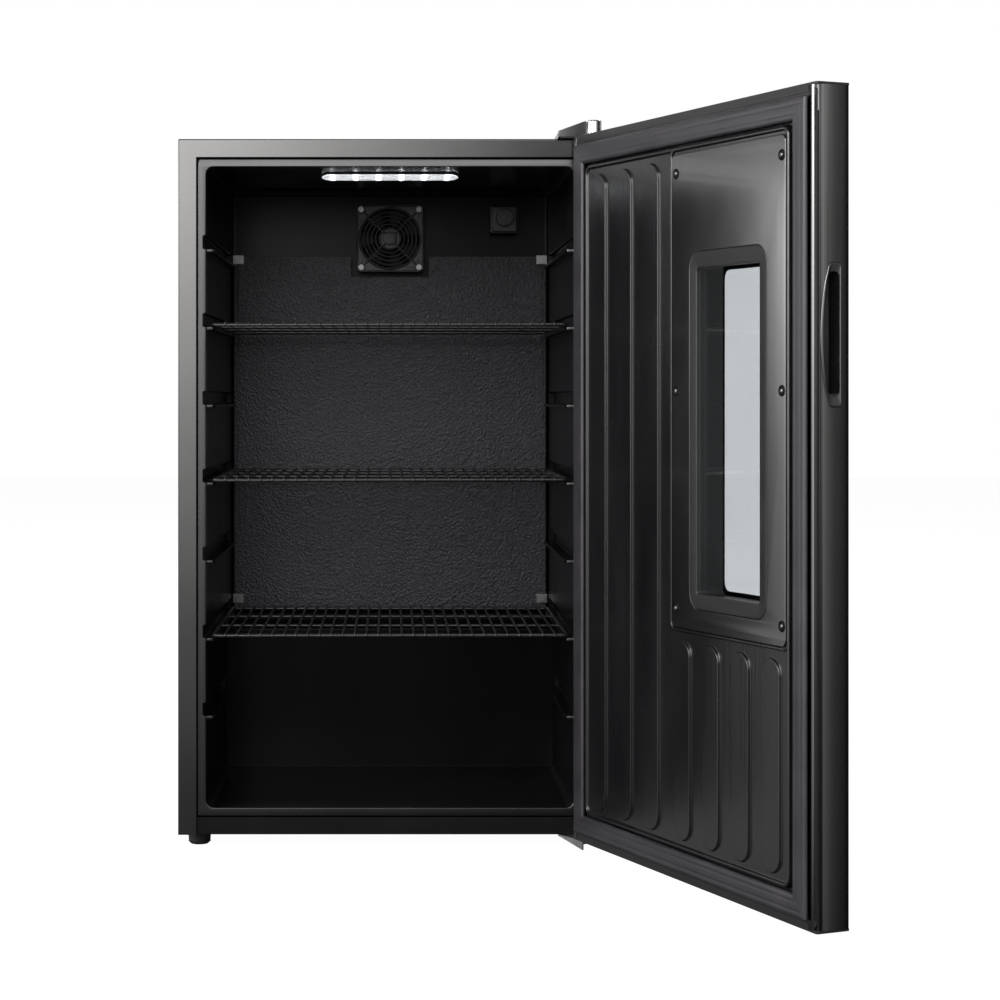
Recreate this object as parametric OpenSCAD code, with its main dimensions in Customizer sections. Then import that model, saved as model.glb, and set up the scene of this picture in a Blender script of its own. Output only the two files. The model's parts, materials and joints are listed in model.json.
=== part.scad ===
// Compact beverage refrigerator: foamed steel cabinet, three sliding wire shelves, a lamp, a
// circulation fan, a thermostat, a compressor bay and a hinged door with an insulated window.
// Millimetres, +Z up. The front faces -Y and the hinge side is +X.
// The origin is on the floor under the middle of the cabinet.

/* [Door] */
// Door angle at rest in degrees: 0 is shut
door_open = 113; // [0:1:133]
// Width of the door, across
door_w = 518; // [510:1:518]
// Thickness of the door
door_t = 40; // [40:0.5:44]
// Height of the door's lower edge above the floor
door_z0 = 18; // [17:0.5:20]
// Height of the door's upper edge above the floor
door_z1 = 867.6; // [866:0.1:867.8]
// Gap between the cabinet's front and the shut door's inner face
door_gap = 7.5; // [7.5:0.1:9]
// Hinge pin's distance from the door's edge
pin_in = 13.4; // [13:0.1:14]
// Hinge pin's depth into the door from its inner face
pin_t = 20; // [19:0.5:21]
// Radius of the hinge pin
pin_r = 4; // [3:0.1:4.5]

/* [Cabinet] */
// Width of the cabinet
cab_w = 518; // [516:1:524]
// Depth of the cabinet, without its door
cab_d = 450; // [446:1:456]
// Height of the cabinet's lower edge above the floor
cab_z0 = 18; // [17:0.5:18]
// Height of the cabinet's top
cab_z1 = 868; // [866:1:872]
// Thickness of the steel sheet
sheet = 0.6; // [0.5:0.1:0.8]
// Width of the steel border round the opening
flange = 22.8; // [20:0.1:24]

/* [Cavity] */
// Half the cavity's width at its mouth
cav_x_front = 224.7; // [222:0.1:225]
// Half the cavity's width at its back
cav_x_back = 220; // [219.8:0.1:221]
// Height of the cavity's floor
cav_z0 = 51; // [50:0.5:52]
// Height of the cavity's ceiling
cav_z1 = 834.2; // [834:0.1:835]
// Depth of the cavity
cav_d = 395; // [394:1:398]
// Radius of the cavity's long corners
cav_r = 10; // [6:1:14]
// Depth from the front to the hump over the compressor
hump_d = 300; // [296:1:304]
// Height of the hump's flat top
hump_z = 255; // [252:1:257]
// Thickness of the liner
liner_t = 2; // [1.5:0.1:2.2]

/* [Shelves] */
// Height of the top shelf slot's centre
slot_z_top = 741.75; // [740:0.25:743]
// Distance between the shelf slots
slot_pitch = 95.15; // [94:0.05:95.5]
// Height of a shelf slot
slot_h = 15.8; // [14:0.1:17]
// Half the width between the slots' outer walls
slot_x = 228.2; // [227:0.1:229]
// Half the width between the ledges' edges
ledge_x = 213; // [211:0.5:214]
// Half the width of a shelf
shelf_x = 219.5; // [217:0.1:219.6]
// Radius of a shelf's frame rod
rod_r = 2.5; // [2:0.1:3]
// Radius of a shelf's wires
wire_r = 1.5; // [1:0.1:1.7]
// Distance between a shelf's wires
wire_pitch = 14.4; // [12:0.1:15]
// Number of wires on each side of the middle one
wires_each_side = 14; // [10:1:14]
// Depth of a shelf's front rod behind the cabinet's front
shelf_front = 8; // [7:0.5:10]
// Depth of a shelf's back rod behind the cabinet's front
shelf_back = 352; // [345:1:354]

/* [Window] */
// The opening's edge nearer the hinge, across the door
win_u0 = 298; // [296:0.5:300]
// The opening's edge nearer the free side
win_u1 = 423.5; // [422:0.5:426]
// Height of the opening's lower edge
win_z0 = 339; // [337:0.5:341]
// Height of the opening's upper edge
win_z1 = 692.5; // [690:0.5:695]

/* [Hidden] */
$fn = 64;
e = 0.1;
yf = -cab_d / 2;
yb = cab_d / 2;
hx = cab_w / 2;
pin_x = hx - pin_in;
pin_y = yf - door_gap - pin_t;
cap_t = 2.4;
bay_d = 336;
bay_z = 213;
fan_z = 772.4;
lamp_y = yf + 103;
comp_x = -40;
comp_y = yf + 398;
foot_x = hx - 23;
foot_y = yf + 42;
drain_x = 60;
drain_y = yf + 388;
steel = [0.16, 0.16, 0.17];
black = [0.06, 0.06, 0.065];
zinc = [0.72, 0.73, 0.75];

// ---- helpers ----

// Rectangle from (x0, y0) to (x1, y1) with round corners
module rrect(x0, y0, x1, y1, r) {
    translate([x0 + r, y0]) square([x1 - x0 - 2 * r, y1 - y0]);
    translate([x0, y0 + r]) square([x1 - x0, y1 - y0 - 2 * r]);
    for (x = [x0 + r, x1 - r], y = [y0 + r, y1 - r]) translate([x, y]) circle(r);
}

// Box from one corner to the other
module span(a, b) {
    translate(a) cube(b - a);
}

// A shape drawn in (x, z), pushed from y0 to y1
module along_y(y0, y1) {
    translate([0, y1, 0]) rotate([90, 0, 0]) linear_extrude(y1 - y0) children();
}

// A shape drawn in (y, z), pushed from x0 to x1
module along_x(x0, x1) {
    translate([x0, 0, 0]) rotate([90, 0, 90]) linear_extrude(x1 - x0) children();
}

// Cylinders whose lengths run along Y or X
module rod_y(x, z, y0, y1, r) {
    translate([x, y1, z]) rotate([90, 0, 0]) cylinder(h = y1 - y0, r = r);
}

module rod_x(y, z, x0, x1, r) {
    translate([x0, y, z]) rotate([0, 90, 0]) cylinder(h = x1 - x0, r = r);
}

// A pan-head screw along +Z, its head's underside at z = 0 and its shank below
module screw(head_r, head_h, shank_r, length) {
    difference() {
        union() {
            cylinder(h = head_h, r = head_r);
            translate([0, 0, -length]) cylinder(h = length + 0.3, r = shank_r);
        }
        for (a = [0, 90])
            rotate([0, 0, a])
                translate([-head_r * 0.55, -0.4, head_h - 0.8]) cube([head_r * 1.1, 0.8, 1]);
    }
}

// From door coordinates (u from the hinge edge, t outwards, z) to the row's frame
module on_door() {
    translate([pin_x, pin_y, 0])
        rotate([0, 0, door_open])
            translate([pin_in, pin_t, 0])
                rotate([0, 0, 180]) children();
}

function slot_z(k) = slot_z_top - slot_pitch * k;

// ---- cabinet ----

module cabinet_shell() color(steel) {
    s = sheet;
    fx = hx - flange;
    fz = cab_z1 - flange;
    difference() {
        span([-hx, yf, cab_z0], [hx, yb, cab_z1]);
        span([-hx + s, yf + s, cab_z0 - 1], [hx - s, yb - s, cab_z1 - s]);
        span([-fx, yf - 1, cab_z0 - 1], [fx, yf + 2, fz]);
        span([-hx + 14, yb - 2, cab_z0 - 1], [hx - 14, yb + 1, cab_z1 - 14]);
        for (p = back_screw_places)
            rod_y(p[0], p[1], yb - 2, yb + 1, 2.2);
        for (x = top_screw_x, y = top_screw_y)
            translate([x, y, cab_z1 - 2]) cylinder(h = 4, r = 2.6);
    }
    difference() {
        span([-fx - s, yf + s / 2, cab_z0], [fx + s, yf + 12, fz + s]);
        span([-fx, yf - 1, cab_z0 - 1], [fx, yf + 13, fz]);
    }
}

back_screw_places = concat(
    [for (z = [250, 405, 560, 715, 850]) for (x = [-hx + 7, hx - 7]) [x, z]],
    [for (x = [-120, 0, 120]) [x, cab_z1 - 7]]
);
top_screw_x = [hx - 41, hx - 19];
top_screw_y = [yf + 14, yf + 32];

module back_panel() color(steel)
    difference() {
        union() {
            span([-hx + 2, yb + e, bay_z - 8], [hx - 2, yb + e + sheet, cab_z1 - 2]);
            for (z = [330, 470, 610, 750])
                along_y(yb + e + sheet / 2, yb + e + 3) rrect(-190, z - 9, 190, z + 9, 8.9);
        }
        for (p = back_screw_places)
            rod_y(p[0], p[1], yb - 1, yb + 2, 2.2);
    }

module back_panel_screws() color(zinc)
    for (p = back_screw_places)
        translate([p[0], yb + e + sheet, p[1]]) rotate([-90, 0, 0]) screw(3.8, 2.2, 2, 9);

// Bent pan: floor under the foam, riser and ceiling of the compressor bay
module base_pan() color(steel)
    difference() {
        along_x(-hx + sheet + e, hx - sheet - e)
            polygon([
                [yf + 16, 18], [yf + bay_d, 18], [yf + bay_d, bay_z - 1], [yb - 0.8, bay_z - 1],
                [yb - 0.8, bay_z], [yf + bay_d - 1, bay_z], [yf + bay_d - 1, 19], [yf + 16, 19]
            ]);
        translate([drain_x, drain_y, bay_z - 3]) cylinder(h = 6, r = 8);
        for (x = bottom_screw_x, y = bottom_screw_y)
            translate([x, y, 16]) cylinder(h = 6, r = 2.6);
        for (x = [-foot_x, foot_x]) translate([x, foot_y, 16]) cylinder(h = 6, r = 4.2);
    }

bottom_screw_x = [hx - 45, hx - 9];
bottom_screw_y = [yf + 21, yf + 62];

module front_rail() color(black)
    along_x(-hx + flange + 0.2, hx - flange - 0.2)
        polygon([
            [yf + 2, 18.2], [yf + 14.2, 18.2], [yf + 14.2, 19.6], [yf + 3.4, 19.6],
            [yf + 3.4, 37.8], [yf + 13, 37.8], [yf + 13, 39.2], [yf + 2, 39.2]
        ]);

// The cold cavity grown by t on every side
module cavity(t) {
    intersection() {
        translate([0, 0, cav_z0 - t])
            linear_extrude(cav_z1 - cav_z0 + 2 * t)
                polygon([
                    [-cav_x_front - t, yf - 1], [cav_x_front + t, yf - 1],
                    [cav_x_back + t, yf + cav_d + t], [-cav_x_back - t, yf + cav_d + t]
                ]);
        along_y(yf - 2, yf + cav_d + 9)
            rrect(-cav_x_front - t, cav_z0 - t, cav_x_front + t, cav_z1 + t, cav_r + t);
        along_x(-hx, hx)
            polygon([
                [yf - 3, cav_z0 - t - 1], [yf + hump_d + t, cav_z0 - t - 1],
                [yf + hump_d + t, hump_z - 17 - t / 2], [yf + hump_d + 12 + t / 2, hump_z - 5 - t],
                [yf + cav_d + t + 1, hump_z - t], [yf + cav_d + t + 1, cav_z1 + t + 1],
                [yf - 3, cav_z1 + t + 1]
            ]);
    }
    for (k = [0:6], m = [0, 1])
        mirror([m, 0, 0])
            span(
                [200, yf - 1, slot_z(k) - slot_h / 2 - t],
                [slot_x + t, yf + (k == 6 ? 282 : 372) + t, slot_z(k) + slot_h / 2 + t]
            );
}

module liner_ledges()
    for (k = [0:6], m = [0, 1])
        mirror([m, 0, 0])
            translate([0, 0, slot_z(k) - slot_h / 2 - 4.2])
                linear_extrude(4.2)
                    polygon([
                        [230, yf + 3.5], [ledge_x + 4, yf + 3.5], [ledge_x, yf + 10],
                        [ledge_x, yf + (k == 6 ? 272 : 358)], [230, yf + (k == 6 ? 280 : 368)]
                    ]);

module inner_liner() color(black) {
    difference() {
        union() {
            difference() {
                cavity(liner_t);
                span([-300, yf - 9, 0], [300, yf + 0.6, 900]);
            }
            along_y(yf + 0.6, yf + 2.4)
                rrect(-hx + flange + 1.5, 40.9, hx - flange - 1.5, cab_z1 - flange - 1.5, 3);
            difference() {
                along_y(yf + 0.6, yf + 13)
                    rrect(-hx + flange + 1.5, 40.9, hx - flange - 1.5, cab_z1 - flange - 1.5, 3);
                along_y(yf, yf + 14)
                    rrect(-hx + flange + 3.1, 42.5, hx - flange - 3.1, cab_z1 - flange - 3.1, 2);
            }
        }
        cavity(0);
        translate([drain_x, drain_y, hump_z - 12]) cylinder(h = 20, r = 6.3);
    }
    difference() {
        liner_ledges();
        difference() {
            span([-240, yf, 0], [240, yf + 400, 900]);
            cavity(1);
        }
    }
    span([-197, yf + 304, cav_z1 - 3], [205, yf + 308, cav_z1 + 1]);
}

module cabinet_insulation() color([0.93, 0.88, 0.7])
    difference() {
        span([-hx + 0.8, yf + 14.3, 19.2], [hx - 0.8, yb - 0.8, cab_z1 - 0.8]);
        cavity(liner_t + e);
        span([-300, yf + bay_d - 1.2, 0], [300, yb + 9, bay_z + 0.2]);
        translate([drain_x, drain_y, bay_z - 9]) cylinder(h = 60, r = 8);
        for (p = back_screw_places)
            rod_y(p[0], p[1], yb - 10, yb + 1, 2.4);
        for (x = top_screw_x, y = top_screw_y)
            translate([x, y, cab_z1 - 12]) cylinder(h = 14, r = 2.8);
        for (x = bottom_screw_x, y = bottom_screw_y)
            translate([x, y, 18]) cylinder(h = 14, r = 2.8);
        for (x = [-foot_x, foot_x]) translate([x, foot_y, 18]) cylinder(h = 24, r = 4.4);
    }

// ---- cooling parts inside the cavity ----

evap_hole_x = 211;
evap_hole_z = [272, 744];

module evaporator_plate() color([0.2, 0.2, 0.21])
    difference() {
        span([-217, yf + 383, 259], [217, yf + 385, 748.4]);
        span([-54, yf + 380, 720], [54, yf + 390, 760]);
        for (x = [-evap_hole_x, evap_hole_x], z = evap_hole_z)
            rod_y(x, z, yf + 380, yf + 390, 2.2);
    }

module evaporator_clips() color(black)
    for (m = [0, 1]) mirror([m, 0, 0])
        for (z = evap_hole_z) {
            difference() {
                union() {
                    span([204, yf + 379.4, z - 6], [217.5, yf + 382.9, z + 6]);
                    span([204, yf + 385.1, z - 6], [217.5, yf + cav_d - e, z + 6]);
                    span([217.1, yf + 379.4, z - 6], [219, yf + cav_d - e, z + 6]);
                }
                rod_y(evap_hole_x, z, yf + 375, yf + 393, 2.2);
            }
        }

module evaporator_screws() color(zinc)
    for (x = [-evap_hole_x, evap_hole_x], z = evap_hole_z)
        translate([x, yf + 379.3, z]) rotate([90, 0, 0]) screw(4, 2.4, 2.1, 12);

fan_screw = 40;

module fan_guard() color(black)
    translate([0, yf + 362, fan_z]) rotate([-90, 0, 0]) {
        difference() {
            linear_extrude(3) rrect(-47, -47, 47, 47, 6);
            translate([0, 0, -1]) cylinder(h = 5, r = 43);
            for (x = [-fan_screw, fan_screw], y = [-fan_screw, fan_screw])
                translate([x, y, -1]) cylinder(h = 5, r = 2.2);
        }
        for (r = [16, 29])
            difference() {
                cylinder(h = 2.4, r = r + 1.5);
                translate([0, 0, -1]) cylinder(h = 5, r = r - 1.5);
            }
        for (a = [0:45:315])
            rotate([0, 0, a + 22.5]) translate([8, -1.1, 0.2]) cube([36, 2.2, 2]);
        cylinder(h = 2.6, r = 9.5);
    }

module fan_frame() color(black)
    translate([0, yf + 365.2, fan_z]) rotate([-90, 0, 0])
        difference() {
            union() {
                difference() {
                    linear_extrude(22) rrect(-46, -46, 46, 46, 6);
                    translate([0, 0, -1]) cylinder(h = 24, r = 43.4);
                }
                translate([0, 0, 15]) cylinder(h = 7, r = 17);
                for (a = [0:90:270])
                    rotate([0, 0, a + 45]) translate([14, -2.5, 18]) cube([31, 5, 3.8]);
                for (x = [-fan_screw, fan_screw], y = [-fan_screw, fan_screw])
                    translate([x, y, 21]) cylinder(h = cav_d - 365.2 - 21 - e, r = 4.5);
            }
            translate([0, 0, 11]) cylinder(h = 9, r = 1.55);
            for (x = [-fan_screw, fan_screw], y = [-fan_screw, fan_screw])
                translate([x, y, -1]) cylinder(h = 25, r = 2.2);
        }

module fan_rotor() color(black)
    translate([0, yf + 366, fan_z]) rotate([-90, 0, 0]) {
        translate([0, 0, 1]) cylinder(h = 12, r = 16);
        translate([0, 0, 12.5]) cylinder(h = 6.5, r = 1.5);
        for (a = [0:360 / 7:359])
            rotate([0, 0, a]) translate([14, 0, 7]) rotate([38, 0, 0])
                translate([0, -7.5, -0.7]) cube([26.5, 15, 1.4]);
    }

module fan_screws() color(zinc)
    for (x = [-fan_screw, fan_screw], z = [-fan_screw, fan_screw])
        translate([x, yf + 361.9, fan_z + z]) rotate([90, 0, 0]) screw(3.6, 2.2, 2.1, 22);

module thermostat_housing() color(black)
    difference() {
        union() {
            along_y(yf + 356, yf + cav_d - e) rrect(138.5, 779, 177.5, 818, 4);
            along_y(yf + 354, yf + 357) rrect(141, 781.5, 175, 815.5, 3);
        }
        along_y(yf + 359, yf + cav_d + 1) rrect(141, 781.5, 175, 815.5, 2);
        rod_y(158, 800, yf + 350, yf + 362, 3.05);
        for (k = [0:3])
            span([144, yf + 372 + k * 5, 817], [172, yf + 374 + k * 5, 819]);
    }

module thermostat_knob() color([0.1, 0.1, 0.1])
    difference() {
        union() {
            rod_y(158, 800, yf + 344, yf + 353.5, 12.5);
            rod_y(158, 800, yf + 353, yf + 368, 3);
            span([156.2, yf + 341.5, 789], [159.8, yf + 345, 811]);
        }
        for (a = [0:30:330])
            translate([158, 0, 800]) rotate([0, a, 0])
                rod_y(0, 13.2, yf + 343, yf + 352, 1.2);
    }

lamp_shape = [
    [-86.5, 0], [-84.5, -16], [-79, -33], [79, -33], [84.5, -16],
    [86.5, 0], [84.5, 16], [79, 33], [-79, 33], [-84.5, 16]
];

// The lamp's outline drawn in by about d
module lamp_outline(d)
    polygon([for (p = lamp_shape) [p[0] * (1 - d / 86.5), p[1] * (1 - d / 33)]]);

module lamp_housing() color(black)
    translate([0, lamp_y, 831.6])
        difference() {
            linear_extrude(cav_z1 - 831.6 - e) lamp_outline(0);
            translate([0, 0, -1]) linear_extrude(2.9) lamp_outline(2);
        }

module lamp_board() color([0.9, 0.9, 0.86]) {
    span([-72, lamp_y - 12, 832.6], [72, lamp_y + 12, 833.4]);
    for (i = [-3.5:3.5])
        span([i * 14.5 - 2, lamp_y - 2, 831.9], [i * 14.5 + 2, lamp_y + 2, 832.7]);
}

module lamp_lens() color([0.92, 0.93, 0.95, 0.6])
    translate([0, lamp_y, 830.4]) {
        linear_extrude(1.1) lamp_outline(0);
        linear_extrude(1.9)
            difference() {
                lamp_outline(2.3);
                lamp_outline(3.5);
            }
    }

// ---- shelves ----

module wire_shelf(k) color([0.08, 0.08, 0.08]) {
    z = slot_z(k) - slot_h / 2 + rod_r + e;
    x = shelf_x - rod_r;
    for (y = [shelf_front, shelf_back]) rod_x(yf + y, z, -shelf_x, shelf_x, rod_r);
    for (sx = [-x, x]) rod_y(sx, z, yf + shelf_front, yf + shelf_back, rod_r - 0.1);
    for (y = [122, 238]) rod_x(yf + y, z + 0.3, -x, x, 2);
    for (i = [-wires_each_side:wires_each_side])
        rod_y(i * wire_pitch, z + 2.9, yf + shelf_front, yf + shelf_back, wire_r, $fn = 8);
}

module shelf_top() wire_shelf(1);
module shelf_middle() wire_shelf(3);
module shelf_bottom() wire_shelf(5);

// ---- hinges and feet ----

module top_hinge_plate() color(zinc)
    difference() {
        translate([0, 0, cab_z1 + e])
            linear_extrude(2.4)
                difference() {
                    union() {
                        rrect(hx - 51, yf - 12, hx - 2, yf + 42, 4);
                        translate([pin_x, pin_y]) circle(11.5);
                        translate([pin_x - 11.5, pin_y]) square([23, 30]);
                    }
                    translate([pin_x, pin_y]) circle(pin_r + 0.05);
                }
        for (x = top_screw_x, y = top_screw_y)
            translate([x, y, cab_z1 - 2]) cylinder(h = 6, r = 2.6);
    }

module top_hinge_pin() color([0.85, 0.85, 0.87])
    translate([pin_x, pin_y, 0]) {
        translate([0, 0, 849]) cylinder(h = 24, r = pin_r);
        translate([0, 0, cab_z1 + 2.6]) cylinder(h = 15, r = 8.75);
        translate([0, 0, cab_z1 + 17.5]) cylinder(h = 1.5, r1 = 8.75, r2 = 7.4);
    }

module top_hinge_cover() color(black)
    difference() {
        along_y(yf - 17, yf + 46)
            polygon([
                [hx - 54.5, cab_z1 + 0.2], [hx - 54.5, cab_z1 + 6.6], [hx - 20, cab_z1 + 20.4],
                [hx - 2.4, cab_z1 + 20.4], [hx - 2.4, cab_z1 + 0.2]
            ]);
        along_y(yf - 15.2, yf + 44)
            polygon([
                [hx - 52.5, cab_z1 - 1], [hx - 52.5, cab_z1 + 5.2], [hx - 19.6, cab_z1 + 18.4],
                [hx - 4, cab_z1 + 18.4], [hx - 4, cab_z1 - 1]
            ]);
        span([hx - 52.5, yf - 18, cab_z1 - 1], [hx + 1, yf + 43.9, cab_z1 + 2.7]);
    }

module top_hinge_screws() color(zinc)
    for (x = top_screw_x, y = top_screw_y)
        translate([x, y, cab_z1 + 2.6]) screw(4.4, 2.4, 2.5, 14);

module bottom_hinge_plate() color(zinc)
    difference() {
        union() {
            translate([0, 0, 15.4])
                linear_extrude(2.4) {
                    rrect(hx - 53, yf + 2, hx - 1, yf + 70, 4);
                    translate([pin_x, pin_y]) circle(12);
                    polygon([
                        [hx - 51.5, yf + 6], [hx - 51.5, yf + 2], [hx - 27, yf - 35],
                        [pin_x, pin_y - 12], [pin_x + 12, pin_y], [pin_x + 12, yf + 6]
                    ]);
                }
            translate([hx - 51.5, yf + 2, 0]) rotate([0, 0, -56.5]) rotate([90, 0, 0])
                translate([0, 0, -1.8])
                    linear_extrude(1.8)
                        polygon([[0.5, 15.6], [0.5, 17.7], [44.3, 17.7], [44.3, 6.5], [41.5, 7]]);
            translate([pin_x, pin_y, 16]) cylinder(h = 23, r = pin_r);
        }
        for (x = bottom_screw_x, y = bottom_screw_y)
            translate([x, y, 10]) cylinder(h = 10, r = 2.6);
        translate([foot_x, foot_y, 10]) cylinder(h = 10, r = 4.2);
    }

module bottom_hinge_screws() color(zinc)
    for (x = bottom_screw_x, y = bottom_screw_y)
        translate([x, y, 15.3]) rotate([180, 0, 0]) screw(4.4, 2.4, 2.5, 13);

module levelling_foot(x) color(black)
    translate([x, foot_y, 0]) {
        cylinder(h = 3, r1 = 11, r2 = 13.4);
        translate([0, 0, 2.9]) cylinder(h = 12.1, r1 = 13.4, r2 = 14.2);
        translate([0, 0, 14]) cylinder(h = 24, r = 4.1);
    }

module left_foot() levelling_foot(-foot_x);
module right_foot() levelling_foot(foot_x);

module rear_feet() color(black)
    for (x = [-hx + 33, hx - 33])
        translate([x, yf + 420, 0]) {
            cylinder(h = 2.1, r1 = 11.5, r2 = 13.5);
            translate([0, 0, 2]) cylinder(h = 17.9, r = 13.5);
        }

// ---- compressor bay ----

comp_feet = [for (x = [-70, 70]) for (y = [-36, 36]) [comp_x + x, comp_y + y]];

module compressor_tray() color(steel)
    difference() {
        along_x(-hx + sheet + e, hx - sheet - e)
            polygon([
                [yf + 339, 20], [yb - 1, 20], [yb - 1, 32], [yb - 2.2, 32], [yb - 2.2, 21.2],
                [yf + 340.2, 21.2], [yf + 340.2, 32], [yf + 339, 32]
            ]);
        for (p = comp_feet) translate([p[0], p[1], 15]) cylinder(h = 10, r = 6.2);
    }

module compressor_grommets() color([0.12, 0.12, 0.12])
    for (p = comp_feet)
        translate([p[0], p[1], 0])
            difference() {
                union() {
                    translate([0, 0, 18.2]) cylinder(h = 12, r = 6);
                    translate([0, 0, 21.4]) cylinder(h = 8.8, r = 10);
                }
                translate([0, 0, 10]) cylinder(h = 30, r = 3.4);
            }

module compressor_bolts() color(zinc)
    for (p = comp_feet)
        translate([p[0], p[1], 0]) {
            translate([0, 0, 17]) cylinder(h = 22, r = 3.2);
            translate([0, 0, 33.6]) cylinder(h = 4.6, r = 6.2, $fn = 6);
        }

// Outline of the hermetic shell, grown by d
module shell_outline(d) {
    translate([0, 36 - d]) square([36, 150 + 2 * d]);
    translate([0, 58]) square([58 + d, 106]);
    for (z = [58, 164]) translate([36, z]) circle(22 + d);
}

module compressor_shell() color([0.07, 0.07, 0.075])
    difference() {
        union() {
            translate([comp_x, comp_y, 0]) {
                rotate_extrude($fn = 96)
                    intersection() {
                        shell_outline(0);
                        square([200, 400]);
                    }
                translate([0, 0, 108]) cylinder(h = 5, r = 60);
            }
        }
        translate([comp_x, comp_y, 0])
            rotate_extrude($fn = 96)
                intersection() {
                    shell_outline(-3);
                    square([200, 400]);
                }
    }

// Two straps under the shell, with a saddle block where the shell is welded on
module compressor_feet() color([0.07, 0.07, 0.075])
    difference() {
        for (y = [-36, 36]) {
            span([comp_x - 84, comp_y + y - 11, 30.4], [comp_x + 84, comp_y + y + 11, 33.4]);
            span([comp_x - 26, comp_y + y - 11, 33.3], [comp_x + 26, comp_y + y + 11, 35.9]);
        }
        for (p = comp_feet) translate([p[0], p[1], 28]) cylinder(h = 8, r = 3.6);
    }

module compressor_pump() color([0.4, 0.4, 0.42])
    translate([comp_x, comp_y, 50]) {
        cylinder(h = 60, r = 42);
        translate([0, 0, 59]) cylinder(h = 40, r = 28);
        rotate([0, 0, 30]) translate([-44, -14, 62]) cube([88, 28, 26]);
    }

module relay_cover() color(black)
    difference() {
        span([comp_x - 94, comp_y - 24, 86], [comp_x - 61, comp_y + 24, 146]);
        span([comp_x - 92, comp_y - 22, 84], [comp_x - 59, comp_y + 22, 144]);
        for (k = [0:4])
            span([comp_x - 96, comp_y - 16, 98 + k * 8], [comp_x - 90, comp_y + 16, 101 + k * 8]);
    }

module drip_tray() color([0.5, 0.5, 0.5])
    translate([0, 0, 189])
        difference() {
            linear_extrude(13) rrect(-20, yf + 342, 150, yf + 444, 8);
            translate([0, 0, 1.8]) linear_extrude(20) rrect(-18.2, yf + 343.8, 148.2, yf + 442.2, 6.2);
        }

module drain_tube() color([0.6, 0.6, 0.6])
    translate([drain_x, drain_y, 196])
        difference() {
            union() {
                cylinder(h = hump_z - 196 - 2, r = 6.1);
                translate([0, 0, 22]) cylinder(h = 10, r = 7.6);
            }
            translate([0, 0, -1]) cylinder(h = 90, r = 4.6);
        }

// Upright pipe with a bend at its top, towards +X
module riser(x, y, z0, z1, reach, r, bend = 14) {
    translate([x, y, z0]) cylinder(h = z1 - z0, r = r);
    translate([x + bend, y, z1]) rotate([90, 0, 0]) rotate([0, 0, 90])
        rotate_extrude(angle = 90) translate([bend, 0]) circle(r);
    rod_x(y, z1 + bend, x + bend, x + bend + reach, r);
}

module discharge_tube() color([0.72, 0.42, 0.25])
    riser(comp_x + 74, yf + 372, 52, 160, 150, 3);

module suction_tube() color([0.72, 0.42, 0.25])
    riser(comp_x + 66, yf + 412, 52, 124, 172, 4);

module filter_drier() color([0.72, 0.42, 0.25])
    translate([224, yf + 384, 60]) {
        translate([0, 0, 20]) cylinder(h = 80, r = 9.5);
        translate([0, 0, 6]) cylinder(h = 16, r1 = 3, r2 = 9.5);
        translate([0, 0, 99]) cylinder(h = 14, r1 = 9.5, r2 = 3);
        translate([0, 0, -14]) cylinder(h = 22, r = 2.6);
        translate([0, 0, 112]) cylinder(h = 36, r = 2.6);
    }

module cord_gland() color(black)
    difference() {
        union() {
            rod_y(-190, 60, yb - 3, yb + 5, 9);
            span([-216, yb - 4.6, 34], [-164, yb - 2.6, 86]);
            span([-216, yb - 14, 32.2], [-164, yb - 2.6, 34.2]);
        }
        rod_y(-190, 60, yb - 9, yb + 9, 4.4);
        for (x = [-208, -172], z = [42, 78]) rod_y(x, z, yb - 9, yb, 2.1);
    }

// ---- door, in door coordinates ----

module door_plan(d) {
    rrect(d, d, door_w - d, door_t - d, 3.2 - d);
}

module door_skin() color(steel) on_door()
    difference() {
        translate([0, 0, door_z0 + cap_t + e])
            linear_extrude(door_z1 - door_z0 - 2 * cap_t - 2 * e)
                difference() {
                    door_plan(0);
                    door_plan(sheet);
                    translate([9, -1]) square([door_w - 18, 3]);
                }
        along_y(door_t - 2, door_t + 1) rrect(286.8, 340.4, 436, 692, 10);
        span([door_w - 2, 11.2, 550.6], [door_w + 1, 29, 681.2]);
        for (z = [547, 685]) rod_x(20, z, door_w - 2, door_w + 1, 1.6);
    }

module door_cap(u_hinge, u_free) {
    difference() {
        union() {
            linear_extrude(cap_t) door_plan(0);
            translate([0, 0, cap_t - 0.1]) linear_extrude(7) {
                translate([9.3, 0]) square([door_w - 18.6, 0.9]);
                translate([3, door_t - 4]) square([door_w - 6, 1.8]);
            }
            for (u = [u_hinge, u_free])
                translate([u, pin_t, 0]) cylinder(h = 22, r = 8.5);
        }
        for (u = [u_hinge, u_free])
            translate([u, pin_t, -1]) cylinder(h = 30, r = 6.05);
    }
}

module door_top_cap() color(black) on_door()
    translate([0, 0, door_z1]) mirror([0, 0, 1]) door_cap(pin_in, door_w - pin_in);

module door_bottom_cap() color(black) on_door()
    translate([0, 0, door_z0]) door_cap(pin_in, door_w - pin_in);

module hinge_bushes() color([0.85, 0.85, 0.82]) on_door()
    for (z = [door_z0 + 0.2, door_z1 - 22.2])
        translate([pin_in, pin_t, z])
            difference() {
                cylinder(h = 22, r = 6);
                translate([0, 0, -1]) cylinder(h = 24, r = pin_r + 0.05);
            }

module hole_plugs() color(black) on_door()
    for (z = [door_z0, door_z1], s = [0, 1])
        if ((z < 400) == (s == 0))
            translate([door_w - pin_in, pin_t, z]) mirror([0, 0, s]) {
                translate([0, 0, -0.5]) cylinder(h = 14, r = 5.95);
                translate([0, 0, -1]) cylinder(h = 0.95, r = 7.4);
            }

// Raised field of the door's inner sheet and its ribs, drawn in by d
ribs_long = [54.3, 115.2, 177.1];
ribs_short = [248.9, 308, 367.4, 426.4];

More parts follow.
